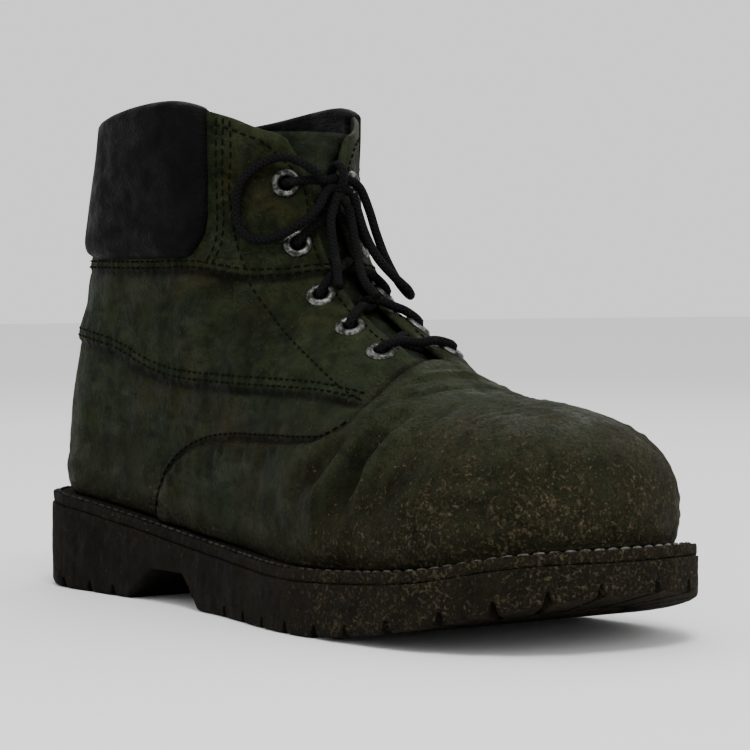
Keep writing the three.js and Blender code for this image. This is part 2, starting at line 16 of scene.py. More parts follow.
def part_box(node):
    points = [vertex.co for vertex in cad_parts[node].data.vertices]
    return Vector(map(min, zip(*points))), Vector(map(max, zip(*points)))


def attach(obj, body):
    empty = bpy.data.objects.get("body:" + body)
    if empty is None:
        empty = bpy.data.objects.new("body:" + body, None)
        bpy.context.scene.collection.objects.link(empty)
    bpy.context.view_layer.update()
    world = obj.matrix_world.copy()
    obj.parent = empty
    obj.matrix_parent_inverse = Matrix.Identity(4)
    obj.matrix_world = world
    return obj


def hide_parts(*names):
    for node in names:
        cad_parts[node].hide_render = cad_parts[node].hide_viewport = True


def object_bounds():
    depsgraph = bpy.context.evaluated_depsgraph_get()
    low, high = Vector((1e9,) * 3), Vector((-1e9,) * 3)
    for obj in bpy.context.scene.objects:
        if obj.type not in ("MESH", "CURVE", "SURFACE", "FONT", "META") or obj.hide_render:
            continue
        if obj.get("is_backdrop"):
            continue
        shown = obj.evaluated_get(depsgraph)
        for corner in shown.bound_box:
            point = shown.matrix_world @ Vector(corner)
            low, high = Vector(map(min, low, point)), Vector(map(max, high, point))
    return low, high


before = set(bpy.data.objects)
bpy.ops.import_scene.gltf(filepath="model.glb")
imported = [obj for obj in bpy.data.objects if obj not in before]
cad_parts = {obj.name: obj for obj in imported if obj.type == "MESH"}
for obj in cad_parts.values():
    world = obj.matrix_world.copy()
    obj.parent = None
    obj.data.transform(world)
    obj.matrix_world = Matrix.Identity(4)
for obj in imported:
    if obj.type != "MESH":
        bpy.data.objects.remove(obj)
CAD_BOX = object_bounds()

bl_info = {
    "name": "Muddy Work Boot",
    "version": (1, 0, 0),
    "blender": (4, 5, 0),
    "location": "View3D > Sidebar > Boot",
    "description": "Builds a worn, muddy lace-up work boot piece by piece",
    "category": "Add Mesh",
}

MM = 0.001
WELD = 0.02 * MM  # points nearer than this are one
ROOT = "root"
SIDES = {"lateral": -1, "medial": 1}

# ------------------------------------------------------------------ driving sizes, in millimetres
_low, _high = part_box("outsole")
SOLE_LENGTH = (_high.x - _low.x) / MM
SOLE_WIDTH = 115.0  # across the ball
HEEL_HEIGHT = 36.0  # floor to the top of the welt, at the back
BALL_HEIGHT = 22.0  # floor to the top of the welt, under the ball
TOE_SPRING = 19.0
SPRING_START = 50.0
WELT_WIDTH = 5.5
WELT_THICKNESS = 4.0
WALL = 2.2
TOE_CAP = 64.0
HEEL_CAP = 42.0
TOE_CENTRE = SOLE_LENGTH / 2 - TOE_CAP
HEEL_CENTRE = HEEL_CAP - SOLE_LENGTH / 2
HALF = SOLE_WIDTH / 2
TOE_ROUND = 2.3
HEEL_ROUND = 2.2
RISE = 10.0
THROAT_HALF = 6.5
COLLAR_CENTRE = -68.0
COLLAR_HALF = 55.0
PAD_BOTTOM = 123.5
PAD_FRONT = 2.22
LACE_RADIUS = 1.6


# ------------------------------------------------------------------ small maths
def mix(a, b, t):
    return a + (b - a) * t


def smooth(a, b, x):
    t = np.clip((x - a) / (b - a), 0, 1)
    return t * t * (3 - 2 * t)


def curve(*stations):
    """A smooth curve through given stations (at, value), level beyond its ends."""
    at, value = (np.array(column, float) for column in zip(*stations))
    slope = np.zeros(len(at))
    slope[1:-1] = (value[2:] - value[:-2]) / (at[2:] - at[:-2])

    def along(x):
        x = np.clip(np.asarray(x, float), at[0], at[-1])
        i = np.clip(np.searchsorted(at, x, side="right") - 1, 0, len(at) - 2)
        h = at[i + 1] - at[i]
        t = (x - at[i]) / h
        s = t * t * (3 - 2 * t)
        lean = (1 - t) * slope[i] - t * slope[i + 1]
        return mix(value[i], value[i + 1], s) + h * t * (1 - t) * lean

    return along


def resample(line, count):
    """count points evenly spaced along a line."""
    step = np.linalg.norm(np.diff(line, axis=0), axis=1)
    far = np.concatenate([[0], np.cumsum(step)])
    at = np.linspace(0, far[-1], count)
    return np.stack([np.interp(at, far, line[:, k]) for k in range(3)], axis=1)


def smooth_line(guides, count):
    """Evenly spaced points on a smooth line through guide points."""
    guides = np.asarray(guides, float)
    chord = np.sqrt(np.linalg.norm(np.diff(guides, axis=0), axis=1))
    at = np.concatenate([[0], np.cumsum(chord)])
    slope = np.gradient(guides, at, axis=0)
    fine = np.linspace(0, at[-1], 4 * count + 12 * len(guides))
    i = np.clip(np.searchsorted(at, fine, side="right") - 1, 0, len(at) - 2)
    h = (at[i + 1] - at[i])[:, None]
    t = (fine - at[i])[:, None] / h
    return resample(hermite(guides[i], guides[i + 1], slope[i] * h, slope[i + 1] * h, t), count)


def hermite(a, b, da, db, t):
    return (
        (2 * t**3 - 3 * t**2 + 1) * a
        + (t**3 - 2 * t**2 + t) * da
        + (3 * t**2 - 2 * t**3) * b
        + (t**3 - t**2) * db
    )


def unit(vectors):
    size = np.linalg.norm(vectors, axis=-1, keepdims=True)
    return vectors / np.maximum(size, 1e-12)


DICE = np.random.default_rng(7)
SHUFFLE = np.tile(DICE.permutation(256), 3)
LEANS = unit(DICE.normal(size=(256, 3)))


def grain(points, size, seed=0.0):
    """Smooth noise from -1 to 1 at points in millimetres, with lumps of about the given size."""
    p = np.asarray(points, float) / size + seed * np.array([1.31, 2.17, 0.73])
    cell = np.floor(p).astype(int)
    inside = p - cell
    fade = inside**3 * (inside * (inside * 6 - 15) + 10)
    total = np.zeros(p.shape[:-1])
    for corner in np.ndindex(2, 2, 2):
        x, y, z = np.moveaxis((cell + corner) % 256, -1, 0)
        lean = LEANS[SHUFFLE[SHUFFLE[SHUFFLE[x] + y] + z]]
        weight = np.prod(np.where(corner, fade, 1 - fade), axis=-1)
        total += weight * np.sum(lean * (inside - corner), axis=-1)
    return 1.6 * total


# ------------------------------------------------------------------ the sole's plan and levels
PLAN_LATERAL = curve(
    (-114, 0.715 * HALF), (-62, 0.715 * HALF), (-12, 0.79 * HALF),
    (46, 0.988 * HALF), (92, 0.98 * HALF), (128, 0.96 * HALF),
)
PLAN_MEDIAL = curve(
    (-114, 0.715 * HALF), (-62, 0.69 * HALF), (-12, 0.71 * HALF),
    (52, 0.93 * HALF), (92, HALF), (128, 0.985 * HALF),
)
welt_top = curve(
    (-156, HEEL_HEIGHT), (-118, HEEL_HEIGHT - 1.5), (-75, HEEL_HEIGHT - 6), (-25, BALL_HEIGHT + 3),
    (20, BALL_HEIGHT + 0.5), (60, BALL_HEIGHT), (110, BALL_HEIGHT + 3.5), (156, BALL_HEIGHT + 11),
)
ARCH_HEIGHT = 12.0


def plan_half(x, side):
    return np.where(np.asarray(side) < 0, PLAN_LATERAL(x), PLAN_MEDIAL(x))


def spring(x):
    return TOE_SPRING * (np.maximum(0, x - SPRING_START) / (SOLE_LENGTH / 2 - SPRING_START)) ** 1.8


def tread_level(x):
    """The underside's height: flat heel and ball, the arch between them and the toe's spring."""
    arch = np.interp(x, [-76, -58, -36, -24], [0, ARCH_HEIGHT, ARCH_HEIGHT, 0])
    return arch + spring(x)


def plan_points(u, side, inset):
    """Plan outline points, u from 0 at the heel's back to 1 at the toe tip, moved in by inset."""
    u, inset = np.broadcast_arrays(np.asarray(u, float), inset)
    heel, toe = 0.16, 0.24
    at_heel = np.clip(u / heel, 0, 1) * np.pi / 2
    at_toe = np.clip((1 - u) / toe, 0, 1) * np.pi / 2
    body = mix(HEEL_CENTRE, TOE_CENTRE, (u - heel) / (1 - heel - toe))
    heel_x = HEEL_CENTRE - (HEEL_CAP - inset) * np.maximum(0, np.cos(at_heel)) ** (2 / HEEL_ROUND)
    toe_x = TOE_CENTRE + (TOE_CAP - inset) * np.maximum(0, np.cos(at_toe)) ** (2 / TOE_ROUND)
    x = np.where(u < heel, heel_x, np.where(u > 1 - toe, toe_x, body))
    across = np.where(u < heel, np.sin(at_heel) ** (2 / HEEL_ROUND), 1.0)
    across = np.where(u > 1 - toe, np.sin(at_toe) ** (2 / TOE_ROUND), across)
    return x, side * (plan_half(x, side) - inset) * across


# ------------------------------------------------------------------ the upper's form
crown = curve(
    (-150, 66), (-70, 84), (-10, 98), (16, 97.5), (32, 93.5), (48, 87), (62, 82), (82, 78.5),
    (105, 77), (156, 77),
)
dome_round = curve((-40, 1.7), (20, 1.9), (70, 2.3), (120, 2.5))
shaft_back = curve(
    (30, -149.5), (52, -152.5), (90, -146), (125, -135), (150, -127.8), (165, -123.5), (178, -121)
)
shaft_front = curve((60, 60), (86, 52), (92, 42), (99.5, 27), (112.5, 11), (130, -1.5), (151, -8), (185, -12))
shaft_half = curve((30, 35), (60, 36), (95, 36), (125, 36.5), (150, 38), (185, 39.5))
shaft_back_cap = curve((30, 37), (60, 40), (110, 46), (185, 52))
shaft_front_cap = curve((60, 95), (104, 90), (129, 72), (151, 62), (185, 56))
collar_line = curve((-130, 167.5), (-98, 172.5), (-66, 176.5), (-46, 177), (-28, 172.5), (-14, 166))
INSTEP = [(-12, 165), (-8.8, 150.5), (-2.5, 130), (10, 112.5), (26, 99.5), (41, 92), (50, 87)]
EYELETS = [(43, 13.5, 88.5), (25.5, 13.5, 97.7), (8.5, 14, 111), (-4.5, 14.5, 129), (-11, 15, 150)]


def foot_field(x, y, z):
    """Zero on the dome over the foot, positive outside it."""
    half = plan_half(x, np.sign(y)) - WELT_WIDTH
    toe = np.maximum(0, x - TOE_CENTRE) / (TOE_CAP - WELT_WIDTH)
    heel = np.maximum(0, HEEL_CENTRE - x) / (HEEL_CAP - WELT_WIDTH)
    n = 2.25
    low = welt_top(x) + RISE
    tuck = 1 + 0.045 * np.maximum(0, (low - z) / RISE) ** 2
    plan = (toe**n + heel**n + (np.abs(y) / half) ** n) ** (1 / n) * tuck
    rise = np.maximum(0, z - low) / (crown(x) - low)
    m = dome_round(x)
    return ((plan**m + rise**m) ** (1 / m) - 1) * 45


def shaft_field(x, y, z):
    """Zero on the shaft round the ankle, positive outside it."""
    back_cap, front_cap = shaft_back_cap(z), shaft_front_cap(z)
    back = np.maximum(0, shaft_back(z) + back_cap - x) / back_cap
    front = np.maximum(0, x - (shaft_front(z) - front_cap)) / front_cap
    n = 2.15
    low = welt_top(x) + RISE
    tuck = 1 + 0.045 * np.maximum(0, (low - z) / RISE) ** 2
    return ((back**n + front**n + (np.abs(y) / shaft_half(z)) ** n) ** (1 / n) * tuck - 1) * 40


def field(p):
    """Zero on the leather's outer face, positive outside: a foot and a shaft that run together."""
    x, y, z = p[..., 0], p[..., 1], p[..., 2]
    foot, shaft = foot_field(x, y, z), shaft_field(x, y, z)
    k = mix(4, 16, smooth(-90, 0, x))
    h = np.maximum(0, k - np.abs(foot - shaft)) / k
    return np.minimum(foot, shaft) - h * h * k / 4


def skin(guides, lift=0.0, rounds=12):
    """The outer face's points nearest to guide points, moved out by lift, and its normals there."""
    p = np.array(guides, float)
    shape = p.shape
    p = p.reshape(-1, 3)
    step = 0.4
    slope = np.zeros_like(p)
    for _ in range(rounds):
        for axis in range(3):
            ahead, behind = p.copy(), p.copy()
            ahead[:, axis] += step
            behind[:, axis] -= step
            slope[:, axis] = (field(ahead) - field(behind)) / (2 * step)
        size = np.sum(slope**2, axis=1)
        reach = 12 / np.sqrt(size)
        p -= np.clip(field(p) / size, -reach, reach)[:, None] * slope
    normal = unit(slope)
    p = p + normal * np.reshape(lift, (-1, 1))
    return p.reshape(shape), normal.reshape(shape)


# ------------------------------------------------------------------ seams and creases
# Each line is given on one side as (x, distance out from the centre line, z).
COLLAR_SEAM = [
    (-137, 0, 119.5), (-128, 20, 119.6), (-102, 34.5, 119.8), (-83, 36, 119.6), (-66, 36, 119.4),
    (-48, 34.8, 119.8), (-38, 33, 119.5), (-32, 31.5, 118.6), (-19.6, 28, 117),
    (-4, 19.5, 117), (4, 8, 118.5),
]
QUARTER_SEAM = [
    (-150, 0, 93), (-140, 19, 93.5), (-127, 30, 93.5), (-109, 35.5, 92), (-89, 36, 88.5), (-71, 36, 83),
    (-54, 36, 79.8), (-20, 35.8, 78.2), (11.5, 35.6, 78), (33, 34.6, 77.6), (53, 32.4, 75.8),
]
WING_SEAM = [
    (54, 0, 90), (56.5, 10, 87.5), (58, 20, 83), (59, 31, 75), (58, 38.5, 68.5), (51.5, 42.5, 64),
    (38, 43.5, 62),
    (10.7, 40.4, 61), (-16.5, 38.3, 60.1), (-33.6, 37.4, 57.5), (-46, 37, 53), (-55, 36.9, 46.6),
    (-61.4, 35.4, 37), (-65, 34.2, 28),
]
PAD_SIDE = [
    (-30.6, 31.5, 172), (-31, 31.5, 160), (-31, 31, 148), (-30.6, 30.8, 136),
    (-31.2, 31, 129), (-34, 32, 123.8),
]
FRONT_LINE = [(-26, 29, 171), (-25.5, 29, 160), (-26, 29, 147), (-24, 28, 133), (-19, 27.3, 120.5)]
FACING_LINE = [
    (-16, 27, 114.5), (-7, 26, 106), (7, 27, 97), (25.6, 29.2, 88.3), (44.5, 31, 80), (54, 31.5, 77.5),
]
SHARED_CREASES = [  # points, depth, half-width
    ([(66, 20, 83), (68, 0, 84.5)], 0.45, 1.8),
    ([(72, 24, 80), (74.5, 0, 81.5)], 0.55, 2.0),
    ([(80, 26, 77.5), (82, 0, 80)], 0.4, 2.2),
    ([(62, 26, 79), (66, 33, 73), (72, 39, 67)], 0.8, 2.6),
    ([(4, 22, 108), (-12, 30, 101), (-34, 36, 96)], 0.8, 6.0),
    ([(-9, 24, 126), (-20, 29, 116), (-38, 33.5, 110)], 0.6, 5.0),
    ([(-139, 10, 112), (-125, 26, 107), (-104, 34, 104)], 0.5, 5.0),
]
SIDE_CREASES = {
    "lateral": [
        ([(78, 36, 70), (76.5, 42, 62), (73, 47.5, 53), (68, 50, 44), (65, 50.5, 37)], 4.3, 4.4),
        ([(102, 40, 63), (99, 44, 57), (94, 48, 50), (90, 50, 45)], 1.3, 5.0),
        ([(88, 38, 70), (85, 43, 62), (81, 48.5, 51)], -1.2, 4.4),
        ([(62, 40, 66), (58, 44.5, 58), (48, 48, 48)], 2.2, 4.2),
        ([(28, 43.5, 57), (12, 45, 50), (-6, 43, 45)], 0.9, 5.0),
    ],
    "medial": [
        ([(76, 34, 71), (72, 42, 62), (71, 47, 53), (66, 49.5, 43)], 2.0, 4.4),
        ([(98, 40, 63), (91, 46.5, 54), (83, 49, 47)], 1.1, 5.0),
        ([(58, 40, 64), (47, 43.5, 56), (30, 44.5, 48)], 1.1, 4.8),
    ],
}
SKIN_LINES = {}


def on_skin(name, guides, side):
    """A given line laid on the leather of one side, kept for the next time that it is asked for."""
    key = (name, side)
    if key not in SKIN_LINES:
        points = np.array(guides, float) * (1, side, 1)
        length = np.linalg.norm(np.diff(points, axis=0), axis=1).sum()
        SKIN_LINES[key] = skin(smooth_line(points, max(6, int(length / 3))))[0]
    return SKIN_LINES[key]


def line_distance(points, normals, line, side):
    """Signed distance from a line on the leather, and the share along it.

    The distance is positive above a line that runs to the toe.
    """
    best = np.full(len(points), 1e9)
    sign, share = np.ones(len(points)), np.zeros(len(points))
    for i, (a, b) in enumerate(zip(line[:-1], line[1:])):
        along = b - a
        t = np.clip((points - a) @ along / (along @ along), 0, 1)
        off = points - a - t[:, None] * along
        away = np.linalg.norm(off, axis=1)
        closer = away < best
        turn = np.sum(np.cross(along, off) * normals, axis=1)
        sign = np.where(closer, np.where(turn * -side >= 0, 1.0, -1.0), sign)
        share = np.where(closer, (i + t) / (len(line) - 1), share)
        best = np.where(closer, away, best)
    return sign * best, share


def hump(distance, width):
    """A soft bump, 1 where the distance is nothing."""
    return np.exp(-((distance / width) ** 2))


def eyelet_places(side):
    """The eyelets' centres on the leather of one side, and the way they face."""
    guides = np.array([(x, side * y, z) for x, y, z in EYELETS], float)
    return skin(guides)


def relief(points, normals, side):
    """Height of the worn leather over the plain form at points of one side, with its mud, its dust and
    painted top light, and the painted shade of its seams, welt crevice and creases.
    """
    name = "lateral" if side < 0 else "medial"
    collar, along_collar = line_distance(points, normals, on_skin("collar", COLLAR_SEAM, side), side)
    quarter, along_quarter = line_distance(points, normals, on_skin("quarter", QUARTER_SEAM, side), side)
    wing, along_wing = line_distance(points, normals, on_skin("wing", WING_SEAM, side), side)
    broad, middle = grain(points, 34, 1.0), grain(points, 11, 5.0)
    vamp = smooth(-0.8, 0.8, wing)
    up_collar, up_quarter = smooth(-0.6, 0.6, collar), smooth(-0.6, 0.6, quarter)
    height = -1.25 + 0.75 * up_quarter * (1 - vamp) + 0.5 * up_collar + 1.05 * vamp
    height -= 0.3 * hump(quarter + 1.0, 0.9) * (1 - vamp) + 0.3 * hump(collar + 1.0, 0.9)
    height -= 1.1 * hump(wing + 1.0, 1.2) + 0.35 * hump(wing + 3.5, 3.0)
    height += 0.8 * hump(wing - 7, 6)
    height += 0.2 * np.sin(along_collar * 230 + 2 * middle) * hump(collar - 2, 3.2)
    height += 0.22 * np.sin(along_quarter * 270 + 2 * middle) * hump(quarter - 3, 3.6) * (1 - vamp)
    pucker = np.sin(along_wing * 150 + 2.5 * grain(points, 14, 3.0))
    height += 0.45 * pucker * hump(wing - 3.5, 4.0) * smooth(0.3, 0.45, along_wing)
    # The creases' depth, gathered here for painted shade in them
    crease_shade = np.zeros(len(points))
    for k, (guides, depth, width) in enumerate(SHARED_CREASES + SIDE_CREASES[name]):
        away, share = line_distance(points, normals, on_skin(f"crease_{k}", guides, side), side)
        away = np.abs(away)
        trough = depth * hump(away, width) * smooth(-0.02, 0.3, share) * smooth(1.02, 0.7, share)
        height -= trough - 0.45 * depth * hump(away - 1.9 * width, width)
        crease_shade += np.maximum(0, trough)
    flex = smooth(-1, 8, wing) * smooth(46, 22, np.abs(points[:, 0] - 84))
    wrinkle = points[:, 0] * 1.5 + 0.04 * points[:, 1] ** 2 / 5 + 3 * grain(points, 16, 7.0)
    height += 0.22 * flex * np.sin(wrinkle)
    height += 0.7 * broad + 0.3 * middle
    places, axes = eyelet_places(side)
    for place, axis in zip(places, axes):
        off = points - place
        radius = np.linalg.norm(off - (off @ axis)[:, None] * axis, axis=1)
        near = np.linalg.norm(off, axis=1) < 12
        height = np.where(near, mix(height, 0.0, smooth(8.5, 5.6, radius)), height)
        height = np.where(near & (radius < 3.2), -2.6, height)
    x, z = points[:, 0], points[:, 2]
    above = z - welt_top(x)
    toe = smooth(20, 120, x)
    mud = 0.9 * np.exp(-np.maximum(0, above) / 9) + 0.62 * toe * smooth(80, 14, above)
    mud += 0.3 * hump(wing + 1, 6) + 0.3 * grain(points, 24, 9.0) + 0.16 * toe + 0.1
    mud = np.clip(mud, 0, 1)
    lumps = np.maximum(0, grain(points, 3.4, 11.0) - 0.12) * np.maximum(0, grain(points, 13, 13.0) + 0.35)
    height += 1.1 * lumps * mud
    # How near a seam groove or the welt's crevice, for painted shade there in the leather finish
    seam = np.minimum(np.maximum(0, above) * 1.1, np.abs(wing + 0.6))
    seam = np.minimum(seam, np.where(vamp > 0.5, 9, np.minimum(np.abs(quarter + 0.5), np.abs(collar + 0.5))))
    # Dust, and painted top light: lighter where the leather faces up, more towards the toe
    dust_and_top_light = smooth(0.1, 0.95, normals[:, 2]) * smooth(-20, 60, x)
    values = {"mud": mud, "seam": np.clip(seam / 9, 0, 1), "crease": np.clip(crease_shade, 0, 1), "dust_and_top_light": dust_and_top_light}
    return height, values


# ------------------------------------------------------------------ mesh helpers
def grid_mesh(columns, rows, drop=None, second=None):
    """A flat bmesh grid as a mesh, and each vertex's column and row. drop and second pick faces by place."""
    bm = bmesh.new()
    bmesh.ops.create_grid(bm, x_segments=columns, y_segments=rows, size=1)
    if drop or second:
        gone = []
        for face in bm.faces:
            middle = face.calc_center_median()
            place = int((middle.x + 1) / 2 * columns), int((middle.y + 1) / 2 * rows)
            if drop and drop(*place):
                gone.append(face)
            elif second and second(*place):
                face.material_index = 1
        bmesh.ops.delete(bm, geom=gone, context="FACES")
    mesh = bpy.data.meshes.new("grid")
    bm.to_mesh(mesh)
    bm.free()
    flat = np.empty(3 * len(mesh.vertices))
    mesh.vertices.foreach_get("co", flat)
    flat = flat.reshape(-1, 3)
    column = np.rint((flat[:, 0] + 1) / 2 * columns).astype(int)
    row = np.rint((flat[:, 1] + 1) / 2 * rows).astype(int)
    return mesh, column, row


def shape_grid(points, values=None, drop=None, second=None, uv=None):
    """A bmesh grid moved onto points[column, row], in millimetres, with its doubles merged."""
    columns, rows = points.shape[0] - 1, points.shape[1] - 1
    mesh, column, row = grid_mesh(columns, rows, drop, second)
    if uv:
        corner = np.empty(len(mesh.loops), int)
        mesh.loops.foreach_get("vertex_index", corner)
        flat = np.stack([row[corner] / rows * uv[0], column[corner] / columns * uv[1]], axis=1)
        mesh.uv_layers.new(name="lay").data.foreach_set("uv", flat.ravel().astype(np.float32))
    mesh.vertices.foreach_set("co", (points[column, row] * MM).ravel())
    for name, value in (values or {}).items():
        layer = mesh.attributes.new(name, "FLOAT", "POINT")
        layer.data.foreach_set("value", value[column, row].astype(np.float32))
    bm = bmesh.new()
    bm.from_mesh(mesh)
    bpy.data.meshes.remove(mesh)
    bmesh.ops.remove_doubles(bm, verts=bm.verts, dist=WELD)
    return bm


def face_out(bm):
    """Turns a closed mesh's faces outwards."""
    bmesh.ops.recalc_face_normals(bm, faces=bm.faces)
    if bm.calc_volume(signed=True) < 0:
        bmesh.ops.reverse_faces(bm, faces=bm.faces)


def finish_piece(bm, name, looks, nodes=(), out=True):
    """Writes a bmesh as a finished piece of the boot, with its materials and body."""
    if out:
        face_out(bm)
    mesh = bpy.data.meshes.new(name)
    bm.to_mesh(mesh)
    bm.free()
    mesh.shade_smooth()
    piece = bpy.data.objects.new(name, mesh)
    bpy.context.scene.collection.objects.link(piece)
    for look in looks:
        mesh.materials.append(look)
    if nodes:
        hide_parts(*nodes)
    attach(piece, ROOT)
    return piece


def tube(path, radius, sides=10, step=1.2):
    """A round cord along path, in millimetres, with its own uv map, and its ring centres."""
    length = np.linalg.norm(np.diff(path, axis=0), axis=1).sum()
    line = resample(np.asarray(path, float), max(4, int(length / step)))
    ahead = unit(np.gradient(line, axis=0))
    across = unit(np.cross(ahead[0], (0.31, 0.2, 0.93)))
    turn = np.linspace(0, 2 * math.pi, sides + 1)[:, None]
    rings = np.zeros((len(line), sides + 1, 3))
    for k, (centre, way) in enumerate(zip(line, ahead)):
        across = unit(across - (across @ way) * way)
        up = np.cross(way, across)
        rings[k] = centre + radius * (np.cos(turn) * across + np.sin(turn) * up)
    bm = shape_grid(rings, uv=(1.0, length * MM * 100))
    for cap in bmesh.ops.holes_fill(bm, edges=[edge for edge in bm.edges if edge.is_boundary])["faces"]:
        bmesh.ops.poke(bm, faces=[cap])
    face_out(bm)
    return bm, line


# ------------------------------------------------------------------ materials
class Look:
    """One procedural material being wired up, in the piece's own coordinates."""

    def __init__(self, name, roughness=0.6, metallic=0.0, specular=0.5):
        self.material = bpy.data.materials.new(name)
        self.material.use_nodes = True
        self.tree = self.material.node_tree
        self.shader = self.tree.nodes["Principled BSDF"]
        self.shader.inputs["Metallic"].default_value = metallic
        self.shader.inputs["Specular IOR Level"].default_value = specular
        self.shader.inputs["Roughness"].default_value = roughness
        self.place = self.add("ShaderNodeTexCoord").outputs["Object"]

    def add(self, kind, inputs=None, **settings):
        node = self.tree.nodes.new(kind)
        for key, value in settings.items():
            setattr(node, key, value)
        for key, value in (inputs or {}).items():
            if isinstance(value, bpy.types.NodeSocket):
                self.tree.links.new(value, node.inputs[key])
            else:
                node.inputs[key].default_value = value
        return node

    def noise(self, size, detail=3.0, rough=0.55, stretch=None, distortion=0.0):
        """Noise with lumps of about size millimetres."""
        place = self.place
        if stretch:
            place = self.add("ShaderNodeMapping", {"Vector": place, "Scale": stretch}).outputs[0]
        settings = {"Vector": place, "Scale": 1 / (size * MM), "Detail": detail}
        settings |= {"Roughness": rough, "Distortion": distortion}
        return self.add("ShaderNodeTexNoise", settings).outputs["Fac"]

    def cells(self, size, feature="F1"):
        settings = {"Vector": self.place, "Scale": 1 / (size * MM)}
        return self.add("ShaderNodeTexVoronoi", settings, feature=feature).outputs["Distance"]

    def value(self, name):
        return self.add("ShaderNodeAttribute", attribute_name=name).outputs["Fac"]

    def maths(self, operation, a, b=0.0, clamp=False):
        node = self.add("ShaderNodeMath", {0: a, 1: b}, operation=operation, use_clamp=clamp)
        return node.outputs[0]

    def fade(self, value, low, high, to_low=0.0, to_high=1.0):
        settings = {"Value": value, "From Min": low, "From Max": high, "To Min": to_low, "To Max": to_high}
        return self.add("ShaderNodeMapRange", settings, interpolation_type="SMOOTHSTEP").outputs["Result"]

    def blend(self, share, a, b, mode="MIX"):
        node = self.add("ShaderNodeMix", data_type="RGBA", blend_type=mode)
        for index, value in ((0, share), (6, a), (7, b)):
            if isinstance(value, bpy.types.NodeSocket):
                self.tree.links.new(value, node.inputs[index])
            else:
                node.inputs[index].default_value = (*value, 1) if index else value
        return node.outputs[2]

    def multiply(self, colour, factor):
        grey = self.add("ShaderNodeCombineColor", {0: factor, 1: factor, 2: factor}).outputs[0]
        return self.blend(1.0, colour, grey, "MULTIPLY")

    def bump(self, height, depth, normal=None):
        """A bump of about depth millimetres for a height of 1."""
        settings = {"Height": height, "Distance": depth * MM, "Strength": 1.0}
        if normal:
            settings["Normal"] = normal
        return self.add("ShaderNodeBump", settings).outputs["Normal"]

    def finish(self, colour, roughness=None, normal=None):
        links = self.tree.links
        links.new(colour, self.shader.inputs["Base Color"])
        if roughness is not None:
            links.new(roughness, self.shader.inputs["Roughness"])
        if normal is not None:
            links.new(normal, self.shader.inputs["Normal"])
        return self.material


def cached(make):
    """One material for each kind of finish, however many pieces wear it."""

    def get():
        name = make.__name__
        if name not in bpy.data.materials:
            made = make()
            made.name = name
        return bpy.data.materials[name]

    return get


def finishes():
    return bpy.context.scene.boot_finish


def shade(colour, factor):
    return tuple(c * factor for c in colour)


def add_mud(look, colour, roughness, amount, normal=None, cover=0.92):
    """Dried mud over a finish: specks nearly everywhere, a stain and then a crust where amount is high."""
    mud = finishes().mud
    stain = look.maths("MULTIPLY", amount, look.fade(look.noise(9, 7, 0.72), 0.34, 0.68, 0.1, 0.6))
    colour = look.blend(stain, colour, shade(mud, 0.44))
    damp = look.fade(look.noise(2.1, 5, 0.7), 0.58, 0.7, 0, 0.6)
    colour = look.blend(look.maths("MULTIPLY", damp, amount), colour, shade(mud, 0.07))
    patches = look.maths("MULTIPLY", look.noise(15, 3), 0.16)
    lift = look.maths("ADD", look.maths("MULTIPLY", amount, 0.13), patches)
    small = look.fade(look.maths("ADD", look.noise(1.2, 4, 0.62), lift), 0.69, 0.79)
    large = look.fade(look.maths("ADD", look.noise(2.6, 6, 0.75, distortion=0.5), lift), 0.735, 0.83)
    thick = look.maths("MULTIPLY", amount, 0.26)
    crust = look.fade(look.maths("ADD", look.noise(5, 7, 0.75), thick), 0.78, 0.92)
    covered = look.maths("MAXIMUM", look.maths("MAXIMUM", small, large), crust)
    thin = look.fade(look.noise(3.3, 4, 0.7), 0.35, 0.62, 0.42 * cover, cover)
    tint = look.blend(look.fade(look.noise(1.9, 5, 0.75), 0.35, 0.7), shade(mud, 0.55), shade(mud, 1.8))
    colour = look.blend(look.maths("MULTIPLY", covered, thin), colour, tint)
    normal = look.bump(covered, 0.5, normal)
    rough = look.maths("MAXIMUM", roughness, look.maths("MULTIPLY", covered, 0.95))
    return colour, rough, normal


